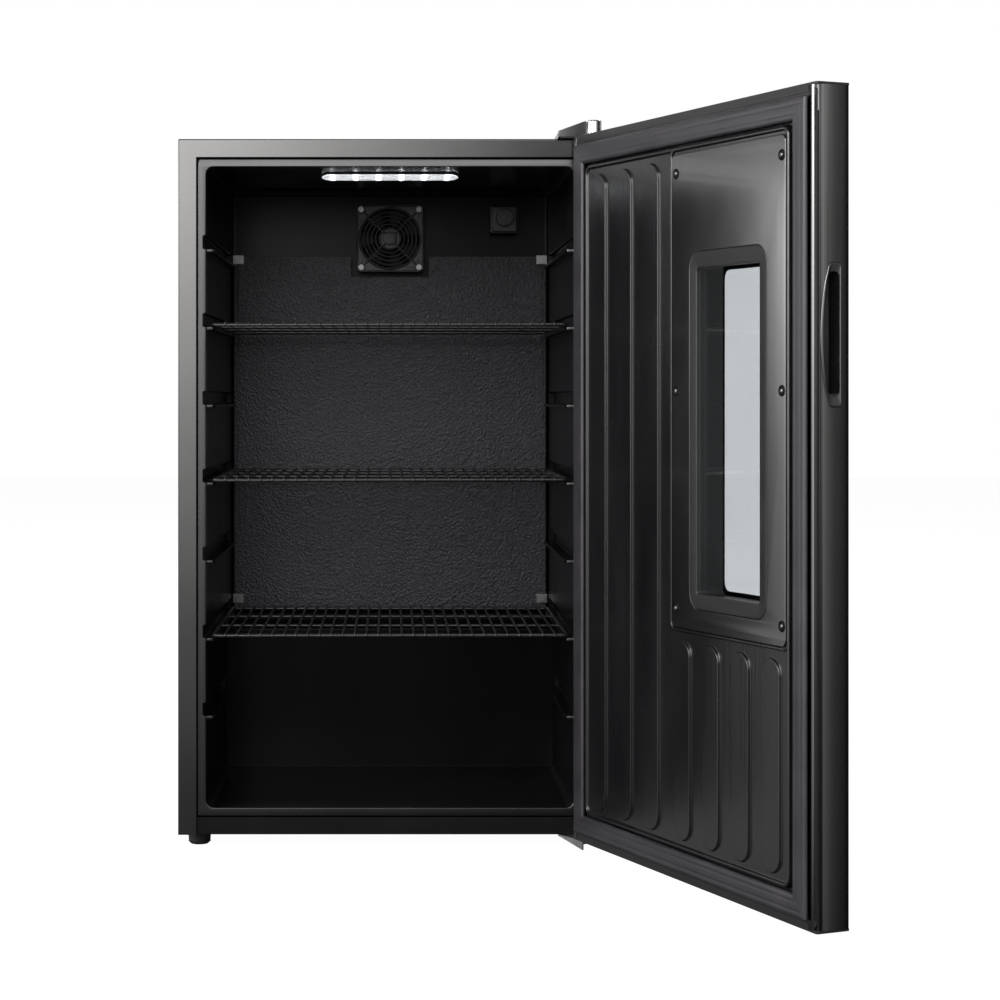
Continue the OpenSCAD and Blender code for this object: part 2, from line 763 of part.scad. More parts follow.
module field_outline(d) rrect(40 + d, 54.5 + d, 478 - d, 829 - d, 12 - d);

module rib_outlines(d) {
    for (u = ribs_long) rrect(u + d, 65 + d, u + 38.5 - d, 816 - d, 19.2 - d);
    for (u = ribs_short) rrect(u + d, 65.4 + d, u + 35 - d, 285.4 - d, 17.4 - d);
}

// Window hole through the inner sheet and the foam
module window_hole(y0, y1, d) along_y(y0, y1) rrect(283 - d, 320.6 - d, 439.8 + d, 712.4 + d, 8);

module door_liner() color(black) on_door()
    difference() {
        union() {
            along_y(1, 2.8) rrect(2.2, door_z0 + 6, door_w - 2.2, door_z1 - 6, 2);
            along_y(-4, 2) field_outline(0);
            along_y(-6.2, 2) difference() {
                field_outline(0);
                field_outline(5);
            }
            along_y(-6.2, -3) difference() {
                rrect(240.6, 294.4, 475, 826, 10);
                rrect(244.9, 298.7, 473, 820.2, 8);
            }
            along_y(-6.8, -3) rib_outlines(0);
        }
        along_y(-2.2, 4) field_outline(1.8);
        along_y(-5, 1) rib_outlines(1.8);
        window_hole(-20, 20, 0);
        for (u = window_screw_u, z = window_screw_z) rod_y(u, z, -9, 6, 1.7);
    }

module door_insulation() color([0.93, 0.88, 0.7]) on_door()
    difference() {
        union() {
            along_y(2.9, door_t - 4.1) rrect(2.2, 46, door_w - 2.2, 839.6, 2);
            along_y(-2, 4) field_outline(2.1);
            along_y(-4.8, 0) rib_outlines(2.1);
        }
        window_hole(-20, 60, 0.2);
        span([480, 9.6, 548], [door_w + 2, 30.6, 684]);
        for (u = window_screw_u, z = window_screw_z) rod_y(u, z, -9, 14, 2);
        span([door_w - 20, 18, 540], [door_w + 2, 22, 692]);
    }

// A rectangular ring from inset a to inset b of the gasket's outer outline
module gasket_ring(y0, y1, a, b)
    along_y(y0, y1)
        difference() {
            rrect(11 + a, door_z0 + 10.4 + a, door_w - 11 - a, door_z1 - 12.4 - a, max(4 - a, 0.5));
            rrect(11 + b, door_z0 + 10.4 + b, door_w - 11 - b, door_z1 - 12.4 - b, 3);
        }

module door_gasket() color([0.2, 0.19, 0.2]) on_door()
    difference() {
        union() {
            gasket_ring(-3.4, 0.9, 0, 24);
            gasket_ring(-5.9, -3, 2.3, 21.7);
            gasket_ring(-7, -5.5, 5, 19);
        }
        gasket_ring(-5.4, -2, 7.9, 16.1);
    }

module gasket_magnet() color([0.25, 0.2, 0.18]) on_door() gasket_ring(-5.3, -2.1, 8, 16);

window_screw_u = [255.7, 466.3];
window_screw_z = [320, 559.2, 798.8];

module window_panel() color([0.03, 0.03, 0.035]) on_door()
    difference() {
        along_y(-7, -4.1) rrect(245.2, 299, 472.7, 819.8, 8);
        along_y(-12, -2) rrect(284.6, 322.2, 438.1, 710.8, 20);
        for (u = window_screw_u, z = window_screw_z) rod_y(u, z, -12, 0, 2);
    }

// Shallow surround of the window: four flat slopes that meet at mitred corners
module window_bezel() color(black) on_door()
    difference() {
        union() {
            along_y(-7.2, -0.2) rrect(284.8, 322.4, 437.9, 710.6, 19.8);
            along_y(-4, -0.2) rrect(283.4, 321, 439.4, 712, 7.6);
        }
        intersection() {
            translate([0, 0, 300])
                linear_extrude(430)
                    polygon([
                        [win_u0, 1], [win_u0, -6.2], [286, -7.3], [286, -9],
                        [436.7, -9], [436.7, -7.3], [win_u1, -6.2], [win_u1, 1]
                    ]);
            along_x(200, 500)
                polygon([
                    [1, win_z0], [-6.2, win_z0], [-7.3, 323.6], [-9, 323.6],
                    [-9, 709.4], [-7.3, 709.4], [-6.2, win_z1], [1, win_z1]
                ]);
        }
    }

module window_screws() color(zinc) on_door()
    for (u = window_screw_u, z = window_screw_z)
        translate([u, -7.1, z]) rotate([90, 0, 0]) screw(3.6, 1.8, 1.6, 11);

module window_inner_glass() color([0.55, 0.6, 0.62, 0.3]) on_door()
    along_y(0, 3.2) rrect(285, 322.6, 437.8, 710.4, 4);

module window_spacer() color(black) on_door()
    along_y(3.3, 35)
        difference() {
            rrect(283.4, 321, 439.4, 712, 8);
            rrect(288, 336, 434.8, 697, 8);
        }

module window_outer_glass() color([0.55, 0.6, 0.62, 0.3]) on_door()
    along_y(35.1, 39.1) rrect(283.4, 321, 439.4, 712, 6);

// Trim of the finger pull: straight on the front side, bowed on the other
module pull_outline(d)
    intersection() {
        translate([302 + d / 2, 615]) circle(r = 297.4 - d, $fn = 180);
        translate([2, 542 + d]) square([25.9 - d, 146 - 2 * d]);
    }

module handle_pocket() color([0.05, 0.05, 0.052]) on_door()
    difference() {
        union() {
            translate([door_w + e, 0, 0]) along_x(0, 1.6) pull_outline(0);
            span([484, 11.6, 551], [door_w + 0.5, 28.6, 680.8]);
            for (z = [547, 685]) rod_x(20, z, door_w - 5, door_w + 0.5, 1.5);
        }
        along_x(486, door_w + 3) rrect(13.7, 553.4, 26.5, 678.4, 5);
    }

// ---- assembly ----

cabinet_shell();
back_panel();
back_panel_screws();
base_pan();
front_rail();
inner_liner();
cabinet_insulation();
evaporator_plate();
evaporator_clips();
evaporator_screws();
fan_guard();
fan_frame();
fan_rotor();
fan_screws();
thermostat_housing();
thermostat_knob();
lamp_housing();
lamp_board();
lamp_lens();
shelf_top();
shelf_middle();
shelf_bottom();
top_hinge_plate();
top_hinge_pin();
top_hinge_cover();
top_hinge_screws();
bottom_hinge_plate();
bottom_hinge_screws();
left_foot();
right_foot();
rear_feet();
compressor_tray();
compressor_shell();
compressor_feet();
compressor_pump();
compressor_grommets();
compressor_bolts();
relay_cover();
drip_tray();
drain_tube();
discharge_tube();
suction_tube();
filter_drier();
cord_gland();
door_skin();
door_top_cap();
door_bottom_cap();
hinge_bushes();
hole_plugs();
door_insulation();
door_liner();
door_gasket();
gasket_magnet();
window_panel();
window_bezel();
window_screws();
window_inner_glass();
window_spacer();
window_outer_glass();
handle_pocket();
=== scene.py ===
"""Looks of a compact beverage refrigerator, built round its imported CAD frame.

The piece builders work in millimetres in the row frame, and piece() turns them into metres.
Door pieces are drawn in the door's own coordinates: u from the hinge edge, t outwards from
the inner face (so what stands proud of that face has a negative t), and z up.
"""

import json
import math

import bmesh
import bpy
from mathutils import Matrix, Vector
from mathutils.geometry import tessellate_polygon


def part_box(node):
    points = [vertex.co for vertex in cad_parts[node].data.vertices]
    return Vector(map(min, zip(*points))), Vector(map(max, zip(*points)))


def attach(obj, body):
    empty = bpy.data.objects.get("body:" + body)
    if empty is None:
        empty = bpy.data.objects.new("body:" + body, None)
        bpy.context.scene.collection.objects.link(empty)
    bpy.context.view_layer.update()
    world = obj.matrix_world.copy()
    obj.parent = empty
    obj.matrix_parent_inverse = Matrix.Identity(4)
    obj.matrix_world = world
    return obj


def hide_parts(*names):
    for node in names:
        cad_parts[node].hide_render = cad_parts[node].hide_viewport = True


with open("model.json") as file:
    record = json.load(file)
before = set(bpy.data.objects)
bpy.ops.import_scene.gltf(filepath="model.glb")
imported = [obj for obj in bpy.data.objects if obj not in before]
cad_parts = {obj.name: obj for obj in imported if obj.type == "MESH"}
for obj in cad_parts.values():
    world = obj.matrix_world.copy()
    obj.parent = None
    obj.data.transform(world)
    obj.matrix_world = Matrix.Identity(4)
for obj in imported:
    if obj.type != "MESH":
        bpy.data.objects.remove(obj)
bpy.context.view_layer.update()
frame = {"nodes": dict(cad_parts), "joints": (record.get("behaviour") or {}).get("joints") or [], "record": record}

MM = 0.001

# Points closer than this, in metres, become one: in the pieces, and in the CAD's meshes
PIECE_WELD, CAD_WELD = 0.00001, 0.00002
# No corner is tighter than this, in millimetres, however far its outline is drawn in
LEAST_RADIUS = 0.05


def box_mm(node):
    """Lowest and highest corner of a CAD node at rest, in millimetres."""
    low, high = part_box(node)
    return low / MM, high / MM


# Main places, read from the frame. PIN_IN and PIN_DEEP are the pin's place in door coordinates,
# and ON_DOOR takes those coordinates to the door as it stands open at rest.
shell_low, shell_high = box_mm("cabinet_shell")
HALF_WIDTH, FRONT, BACK = shell_high.x, shell_low.y, shell_high.y
BASE, TOP = shell_low.z, shell_high.z
hinge = next(j for j in frame["joints"] if j["name"] == "door_hinge")
PIN = Vector(hinge["pos_m"]) / MM
OPEN_ANGLE = -hinge["range_deg"][0]
DOOR_GAP = 7.5
PIN_IN, PIN_DEEP = HALF_WIDTH - PIN.x, FRONT - DOOR_GAP - PIN.y
DOOR_WIDTH = 2 * HALF_WIDTH
DOOR_LOW, DOOR_HIGH = box_mm("door_bottom_cap")[0].z, box_mm("door_top_cap")[1].z
ON_DOOR = (
    Matrix.Translation((PIN.x, PIN.y, 0))
    @ Matrix.Rotation(math.radians(OPEN_ANGLE), 4, "Z")
    @ Matrix.Translation((PIN_IN, PIN_DEEP, 0))
    @ Matrix.Rotation(math.pi, 4, "Z")
)
IN_PLACE = Matrix.Identity(4)


# ---- outlines and surfaces ----

def arc(cx, cy, r, start, end, steps):
    """steps + 1 points along an arc, its angles in degrees."""
    angles = [math.radians(start + (end - start) * i / steps) for i in range(steps + 1)]
    return [(cx + r * math.cos(a), cy + r * math.sin(a)) for a in angles]


def round_rect(x0, y0, x1, y1, r, steps=8):
    """Closed outline of a rectangle with round corners, anticlockwise."""
    r = max(r, LEAST_RADIUS)
    corners = [
        (x1 - r, y0 + r, -90), (x1 - r, y1 - r, 0),
        (x0 + r, y1 - r, 90), (x0 + r, y0 + r, 180),
    ]
    return [p for cx, cy, a in corners for p in arc(cx, cy, r, a, a + 90, steps)]


def drawn_in(rect, d):
    """A (x0, y0, x1, y1) rectangle drawn in by d on every side."""
    return rect[0] + d, rect[1] + d, rect[2] - d, rect[3] - d


def mixed(a, b, f):
    """The outline that lies the share f of the way from a to b."""
    return [(p[0] * (1 - f) + q[0] * f, p[1] * (1 - f) + q[1] * f) for p, q in zip(a, b)]


def full_turn(steps):
    """Angles of one turn in equal steps, in radians."""
    return [2 * math.pi * i / steps for i in range(steps)]


def upright(outline, y):
    """An (x, z) outline as points at depth y."""
    return [(x, y, z) for x, z in outline]


def loft(loops, closed=True, cap_start=False, cap_end=False):
    """Quads between neighbouring loops of equal length, with flat caps on request."""
    n = len(loops[0])
    points = [p for loop in loops for p in loop]
    faces = []
    for k in range(len(loops) - 1):
        for i in range(n if closed else n - 1):
            j = (i + 1) % n
            faces.append((k * n + i, k * n + j, (k + 1) * n + j, (k + 1) * n + i))
    if cap_start:
        faces.append(tuple(reversed(range(n))))
    if cap_end:
        faces.append(tuple(range((len(loops) - 1) * n, len(loops) * n)))
    return points, faces


def flat_region(outer, holes=()):
    """A flat face with holes, as triangles."""
    loops = [outer, *holes]
    points = [p for loop in loops for p in loop]
    triangles = tessellate_polygon([[Vector(p) for p in loop] for loop in loops])
    return points, [tuple(t) for t in triangles]


def tube(path, r, sides=12, closed=False, flat=1.0):
    """A round bar along a path; flat squeezes it along the last axis of its section."""
    path = [Vector(p) for p in path]
    n = len(path)
    loops, side, angles = [], None, full_turn(sides)
    for i, p in enumerate(path):
        before = path[(i - 1) % n] if closed or i else p
        after = path[(i + 1) % n] if closed or i < n - 1 else p
        along = (after - before).normalized()
        if side is None:
            side = along.orthogonal().normalized()
        side = (side - along * side.dot(along)).normalized()
        other = along.cross(side)
        loops.append([
            p + side * r * math.cos(a) + other * r * flat * math.sin(a) for a in angles
        ])
    if closed:
        return loft([*loops, loops[0]])
    return loft(loops, cap_start=True, cap_end=True)


def ring(centre, radius, r, steps=48, sides=10):
    """A round bar of radius r bent into an upright ring that faces along Y."""
    spokes = [Vector((math.cos(a), 0, math.sin(a))) for a in full_turn(steps)]
    return tube([Vector(centre) + radius * spoke for spoke in spokes], r, sides, closed=True)


def fillet(points, radius, steps=4):
    """An open profile with its inner corners rounded."""
    out = [Vector(points[0])]
    for a, b, c in zip(points, points[1:], points[2:]):
        a, b, c = Vector(a), Vector(b), Vector(c)
        r = min(radius, (a - b).length * 0.49, (c - b).length * 0.49)
        start, end = b + (a - b).normalized() * r, b + (c - b).normalized() * r
        for i in range(steps + 1):
            f = i / steps
            out.append((1 - f) ** 2 * start + 2 * f * (1 - f) * b + f * f * end)
    out.append(Vector(points[-1]))
    return [tuple(p) for p in out]


# ---- materials ----

# Noise seldom leaves this range, and a colour ramp takes the middle of it
NOISE_LOW, NOISE_HIGH = 0.3, 0.7
RAMP_LOW, RAMP_HIGH = 0.32, 0.68
# Pointiness at which an edge begins to look rubbed, and at which it is fully so
RUB_START, RUB_FULL = 0.52, 0.6
# Sockets of a Mix node that mixes colours
MIX_FACTOR, MIX_BASE, MIX_OVER, MIX_RESULT = 0, 6, 7, 2

class Finish:
    """A procedural material: its node tree, and short ways to add to it."""

    def __init__(self, name):
        self.material = bpy.data.materials.new(name)
        self.material.use_nodes = True
        self.tree = self.material.node_tree
        self.shader = self.tree.nodes["Principled BSDF"]
        self.output = self.tree.nodes["Material Output"]
        self.place = self.add("ShaderNodeTexCoord").outputs["Object"]

    def add(self, kind, **properties):
        node = self.tree.nodes.new(kind)
        for key, value in properties.items():
            setattr(node, key, value)
        return node

    def link(self, source, target):
        self.tree.links.new(source, target)

    def noise(self, scale, stretch=(1, 1, 1), detail=3.0, roughness=0.55):
        """Noise over the object, scale features per metre, drawn out by stretch."""
        mapping = self.add("ShaderNodeMapping")
        mapping.inputs["Scale"].default_value = stretch
        self.link(self.place, mapping.inputs["Vector"])
        node = self.add("ShaderNodeTexNoise")
        node.inputs["Scale"].default_value = scale
        node.inputs["Detail"].default_value = detail
        node.inputs["Roughness"].default_value = roughness
        self.link(mapping.outputs["Vector"], node.inputs["Vector"])
        return node.outputs["Fac"]

    def along(self, axis):
        """The object coordinate along X, Y or Z, in metres."""
        split = self.add("ShaderNodeSeparateXYZ")
        self.link(self.place, split.inputs[0])
        return split.outputs[axis]

    def between(self, fac, low, high, start=NOISE_LOW, end=NOISE_HIGH):
        """A factor that runs from start to end, spread from low to high."""
        node = self.add("ShaderNodeMapRange")
        values = {"From Min": start, "From Max": end, "To Min": low, "To Max": high}
        for key, value in values.items():
            node.inputs[key].default_value = value
        self.link(fac, node.inputs["Value"])
        return node.outputs["Result"]

    def colours(self, fac, stops):
        """A colour ramp of (position, colour) stops."""
        node = self.add("ShaderNodeValToRGB")
        ramp = node.color_ramp
        while len(ramp.elements) < len(stops):
            ramp.elements.new(0.5)
        for element, (position, colour) in zip(ramp.elements, stops):
            element.position = position
            element.color = (*colour, 1)
        self.link(fac, node.inputs["Fac"])
        return node.outputs["Color"]

    def raise_bump(self, height, distance, strength=1.0):
        """A bump of that height in metres, on top of any bump already there."""
        node = self.add("ShaderNodeBump")
        node.inputs["Strength"].default_value = strength
        node.inputs["Distance"].default_value = distance
        self.link(height, node.inputs["Height"])
        if self.shader.inputs["Normal"].links:
            self.link(self.shader.inputs["Normal"].links[0].from_socket, node.inputs["Normal"])
        self.link(node.outputs["Normal"], self.shader.inputs["Normal"])

    def overlay(self, mask, colour):
        """Lays another colour over the base colour, as far as the mask goes."""
        base = self.shader.inputs["Base Color"]
        mix = self.add("ShaderNodeMix", data_type="RGBA")
        mix.inputs[MIX_OVER].default_value = (*colour, 1)
        self.link(mask, mix.inputs[MIX_FACTOR])
        self.link(base.links[0].from_socket, mix.inputs[MIX_BASE])
        self.link(mix.outputs[MIX_RESULT], base)

    def set(self, **values):
        """Values of the shader's own sockets, with _ for the spaces in their names."""
        for key, value in values.items():
            self.shader.inputs[key.replace("_", " ")].default_value = value


def grey(v, tint=(1, 1, 1)):
    """A grey of that brightness, tinted."""
    return tuple(v * c for c in tint)


def common(name, low, high, rough, scale, stretch=(1, 1, 1), metallic=0.0):
    """Colour and roughness that drift together over the surface."""
    finish = Finish(name)
    patches = finish.noise(scale, stretch)
    colour = finish.colours(patches, [(RAMP_LOW, low), (RAMP_HIGH, high)])
    finish.link(colour, finish.shader.inputs["Base Color"])
    finish.link(finish.between(patches, *rough), finish.shader.inputs["Roughness"])
    finish.set(Metallic=metallic)
    return finish


def worn_edges(finish, colour, amount=0.5):
    """Edges rubbed to another colour where the surface is sharply convex."""
    point = finish.add("ShaderNodeNewGeometry").outputs["Pointiness"]
    finish.overlay(finish.between(point, 0, amount, RUB_START, RUB_FULL), colour)


# Noise drawn out into fine upright lines
VERTICAL = (1, 1, 0.012)
BLUISH = (1, 1, 1.15)
# In metres: the upper lip of the liner's border and how far it rolls back, how far behind the
# front the border's gloss starts to fade and has faded, and likewise the foam's painted shade near the front
LIP_LOW, LIP_HIGH, LIP_ROLL = 0.8344, 0.8437, 0.002
GLOSS_START, GLOSS_END = 0.006, 0.03
FRONT_SHADE_START, FRONT_SHADE_END = 0.02, 0.024
# Where along X the painted shade on the hinge cover starts to darken it towards the pin, and where it is darkest
HINGE_SHADE_START, HINGE_SHADE_FULL = 0.204, 0.228
# The lens's bright spots: half their pitch, and how far from midway between two the glow starts
HALF_PITCH, GLOW_START = 0.0145, 0.0108


def brushed(name, low, high, rough, direction):
    """Sheet steel with a fine drawn grain."""
    dark, light = grey(low, (1, 0.985, 0.97)), grey(high, (1, 0.99, 0.98))
    finish = common(name, dark, light, rough, 9, metallic=1)
    grain = finish.noise(1900, direction, detail=2)
    finish.raise_bump(grain, 0.00001, 0.25)
    return finish


def black_stainless():
    return brushed("black_stainless", 0.098, 0.11, (0.15, 0.2), VERTICAL)


def painted_steel():
    finish = common("painted_steel", grey(0.014), grey(0.022), (0.36, 0.5), 14)
    finish.raise_bump(finish.noise(900), 0.00006, 0.5)
    worn_edges(finish, grey(0.05))
    return finish


def rail_paint():
    """Dead black paint on the rail under the opening."""
    finish = common("rail_paint", grey(0.003), grey(0.005), (0.5, 0.6), 14)
    finish.raise_bump(finish.noise(900), 0.00006, 0.5)
    finish.set(Specular_IOR_Level=0.15)
    return finish


def zinc_steel():
    dark, light = (0.46, 0.46, 0.47), (0.62, 0.62, 0.6)
    finish = common("zinc_steel", dark, light, (0.24, 0.42), 60, metallic=1)
    finish.raise_bump(finish.noise(700), 0.00003, 0.4)
    return finish


def hinge_grey():
    """Smoky metallic paint on the hinge's cover, with painted shade that darkens it towards the pin."""
    finish = Finish("hinge_grey")
    speckle = finish.noise(2500, detail=2)
    # painted shade: the colour darkens along X towards the pin
    painted_shade = finish.between(finish.along("X"), 0.2, -0.2, HINGE_SHADE_START, HINGE_SHADE_FULL)
    both = finish.add("ShaderNodeMath", operation="ADD")
    finish.link(speckle, both.inputs[0])
    finish.link(painted_shade, both.inputs[1])
    stops = [(0.2, grey(0.03)), (0.5, grey(0.075)), (0.8, grey(0.17))]
    finish.link(finish.colours(both.outputs[0], stops), finish.shader.inputs["Base Color"])
    finish.link(finish.between(speckle, 0.26, 0.34), finish.shader.inputs["Roughness"])
    finish.raise_bump(speckle, 0.00002, 0.4)
    finish.set(Metallic=0.9)
    return finish


def pull_plastic():
    """Smooth moulded trim, shinier than the rest of the plastics."""
    finish = common("pull_plastic", grey(0.012), grey(0.02), (0.17, 0.25), 40)
    finish.raise_bump(finish.noise(1500), 0.00002, 0.4)
    finish.set(IOR=1.9)
    return finish


def screw_steel():
    """Screws of dull steel."""
    finish = common("screw_steel", grey(0.16), grey(0.26), (0.3, 0.45), 300, metallic=1)
    finish.raise_bump(finish.noise(900), 0.00003, 0.4)
    return finish


def polished_steel():
    finish = common("polished_steel", grey(0.72), grey(0.8), (0.06, 0.14), 40, metallic=1)
    finish.raise_bump(finish.noise(1500, (1, 1, 0.05)), 0.00001, 0.3)
    return finish


def liner_plastic():
    """Thermoformed black sheet: a glossy rolled border, and a darker satin hollow behind it."""
    dark, light = grey(0.0035, BLUISH), grey(0.0055, BLUISH)
    finish = common("liner_plastic", dark, light, (0.2, 0.27), 7, (1, 1, 0.3))
    finish.raise_bump(finish.noise(55, (1, 1, 0.03), detail=2), 0.00035, 0.35)
    finish.raise_bump(finish.noise(1400), 0.00002, 0.3)
    front = FRONT * MM
    rolled = finish.between(finish.along("Z"), 1, 0, LIP_LOW, LIP_HIGH)
    finish.raise_bump(rolled, LIP_ROLL)
    gloss = finish.between(finish.along("Y"), 0.5, 0.05, front + GLOSS_START, front + GLOSS_END)
    finish.link(gloss, finish.shader.inputs["Specular IOR Level"])
    finish.set(IOR=1.7)
    return finish


def door_sheet():
    """The door's inner sheet: the same plastic, with a drawn satin grain up its length."""
    dark, light = grey(0.005, BLUISH), grey(0.008, BLUISH)
    finish = common("door_sheet", dark, light, (0.2, 0.34), 9, (1, 1, 0.2))
    finish.raise_bump(finish.noise(260, VERTICAL, detail=3), 0.00025, 0.6)
    finish.raise_bump(finish.noise(1400), 0.00002, 0.3)
    finish.set(IOR=1.75)
    return finish


def black_plastic():
    finish = common("black_plastic", grey(0.008), grey(0.014), (0.36, 0.48), 30)
    finish.raise_bump(finish.noise(1600, detail=4), 0.00004, 0.5)
    worn_edges(finish, grey(0.04))
    return finish


def gloss_panel():
    """Smoked acrylic: a silky sheen under a thin clear coat."""
    finish = common("gloss_panel", grey(0.006), grey(0.009), (0.17, 0.22), 12, (1, 1, 0.4))
    finish.raise_bump(finish.noise(9), 0.0006, 0.08)
    finish.set(IOR=2.3, Coat_Weight=0.2, Coat_Roughness=0.03)
    return finish


def foam():
    """Poured foam, with painted shade, near black, where it meets the front."""
    finish = common("foam", (0.78, 0.68, 0.4), (0.9, 0.82, 0.56), (0.8, 0.95), 120)
    finish.raise_bump(finish.noise(420, detail=5), 0.0012, 0.8)
    start, end = FRONT * MM + FRONT_SHADE_START, FRONT * MM + FRONT_SHADE_END
    # painted shade: near black at the front, fading out behind it
    finish.overlay(finish.between(finish.along("Y"), 1, 0, start, end), grey(0.003))
    return finish


def evaporator_metal():
    """Embossed aluminium under a dark lacquer."""
    dark, light = (0.012, 0.012, 0.015), (0.05, 0.05, 0.06)
    finish = common("evaporator_metal", dark, light, (0.42, 0.6), 420)
    cells = finish.add("ShaderNodeTexVoronoi", feature="SMOOTH_F1")
    cells.inputs["Scale"].default_value = 330
    cells.inputs["Smoothness"].default_value = 0.6
    finish.link(finish.place, cells.inputs["Vector"])
    finish.raise_bump(cells.outputs["Distance"], 0.0011, 0.9)
    finish.raise_bump(finish.noise(900, detail=4), 0.0003, 0.6)
    return finish


def shelf_wire():
    """Black dipped coating, thicker in places."""
    finish = common("shelf_wire", grey(0.012), grey(0.02), (0.26, 0.38), 35)
    finish.raise_bump(finish.noise(260), 0.00012, 0.5)
    return finish


def clear_glass():
    dark, light = (0.83, 0.85, 0.865), (0.85, 0.87, 0.885)
    finish = common("clear_glass", dark, light, (0.0, 0.012), 8)
    finish.set(Transmission_Weight=1.0, IOR=1.5)
    return finish


def lens_plastic():
    """Frosted lens with fine ribs, lit from behind by a row of light points."""
    finish = common("lens_plastic", grey(0.86), grey(0.93), (0.24, 0.34), 50)
    finish.raise_bump(finish.noise(1500, (1, 0.05, 1)), 0.0001, 0.5)
    spots = finish.add("ShaderNodeMath", operation="PINGPONG")
    spots.inputs[1].default_value = HALF_PITCH
    finish.link(finish.along("X"), spots.inputs[0])
    glow = finish.between(spots.outputs[0], 0.3, 2.4, GLOW_START, HALF_PITCH)
    finish.link(glow, finish.shader.inputs["Emission Strength"])
    finish.set(Transmission_Weight=0.75, Emission_Color=(0.93, 0.96, 1, 1))
    return finish


def board_white():
    finish = common("board_white", grey(0.66), grey(0.8), (0.35, 0.5), 220)
    finish.raise_bump(finish.noise(900), 0.00005, 0.5)
    return finish


def gasket_vinyl():
    dark, light = (0.026, 0.024, 0.028), (0.04, 0.037, 0.043)
    finish = common("gasket_vinyl", dark, light, (0.34, 0.46), 26)
    finish.raise_bump(finish.noise(1100, detail=3), 0.00006, 0.5)
    finish.set(Specular_IOR_Level=0.6)
    return finish


def magnet_strip():
    dark, light = (0.05, 0.035, 0.03), (0.08, 0.06, 0.05)
    finish = common("magnet_strip", dark, light, (0.7, 0.85), 90)
    finish.raise_bump(finish.noise(800), 0.0001, 0.6)
    return finish


def foot_plastic():
    finish = common("foot_plastic", grey(0.009), grey(0.015), (0.42, 0.58), 45)
    finish.raise_bump(finish.noise(1300), 0.00008, 0.6)
    worn_edges(finish, grey(0.04))
    return finish


def compressor_paint():
    finish = common("compressor_paint", grey(0.012), grey(0.022), (0.24, 0.4), 25)
    finish.raise_bump(finish.noise(180), 0.0003, 0.5)
    worn_edges(finish, grey(0.16))
    return finish


def pump_iron():
    dark, light = (0.16, 0.155, 0.15), (0.28, 0.27, 0.26)
    finish = common("pump_iron", dark, light, (0.5, 0.7), 80, metallic=0.8)
    finish.raise_bump(finish.noise(420, detail=5), 0.0006, 0.8)
    return finish


def rubber_mount():
    finish = common("rubber_mount", grey(0.02), grey(0.035), (0.62, 0.8), 70)
    finish.raise_bump(finish.noise(1000), 0.00012, 0.7)
    return finish


def copper():
    """Drawn copper, browned in patches."""
    dark, light = (0.42, 0.17, 0.09), (0.78, 0.40, 0.26)
    finish = common("copper", dark, light, (0.2, 0.45), 55, metallic=1)
    finish.raise_bump(finish.noise(600), 0.00005, 0.5)
    return finish


def grey_plastic():
    finish = common("grey_plastic", grey(0.34), grey(0.42), (0.4, 0.55), 40)
    finish.raise_bump(finish.noise(1200), 0.00005, 0.5)
    return finish


def bush_plastic():
    finish = common("bush_plastic", (0.66, 0.65, 0.6), (0.76, 0.75, 0.7), (0.35, 0.5), 90)
    finish.raise_bump(finish.noise(1400), 0.00004, 0.5)
    return finish


BUILDERS = [
    black_stainless, painted_steel, zinc_steel, polished_steel, liner_plastic, black_plastic,
    gloss_panel, door_sheet, hinge_grey, pull_plastic, screw_steel, rail_paint, foam,
    evaporator_metal, shelf_wire, clear_glass, lens_plastic, board_white,
    gasket_vinyl, magnet_strip, foot_plastic, compressor_paint, pump_iron, rubber_mount,
    copper, grey_plastic, bush_plastic,
]
FINISHES = {build.__name__: build().material for build in BUILDERS}


# ---- pieces ----

def add_object(name, data):
    """A new object in the scene's collection."""
    obj = bpy.data.objects.new(name, data)
    bpy.context.scene.collection.objects.link(obj)
    return obj


def piece(name, parts, body, slot, replaced=(), place=IN_PLACE, sharp=35, finish=None, sheet=0.0):
    """One mesh piece from (points, faces) parts in millimetres, riding on a body.

    Edges over sharp degrees stay hard. finish names a material other than the slot's own. A sheet
    thickness in millimetres turns a bare surface into folded sheet.
    """
    bm = bmesh.new()
    for points, faces in parts:
        made = [bm.verts.new(place @ Vector(p) * MM) for p in points]
        for face in faces:
            if len({made[i] for i in face}) == len(face):
                bm.faces.new([made[i] for i in face])
    bmesh.ops.remove_doubles(bm, verts=bm.verts, dist=PIECE_WELD)
    bmesh.ops.recalc_face_normals(bm, faces=bm.faces)
    mesh = bpy.data.meshes.new(name)
    bm.to_mesh(mesh)
    bm.free()
    mesh.polygons.foreach_set("use_smooth", [True] * len(mesh.polygons))
    mesh.set_sharp_from_angle(angle=math.radians(sharp))
    obj = add_object(name, mesh)
    mesh.materials.append(FINISHES[finish or slot])
    if sheet:
        thicken(obj, sheet)
    obj.modifiers.new("normals", "WEIGHTED_NORMAL").keep_sharp = True
    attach(obj, body)
    if replaced:
        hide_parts(*replaced)
    return obj


def thicken(obj, thickness):
    """Sheet thickness in millimetres, added behind a surface, or before it if below zero."""
    solid = obj.modifiers.new("thickness", "SOLIDIFY")
    solid.thickness = thickness * MM
    solid.offset = -1
    solid.use_even_offset = True


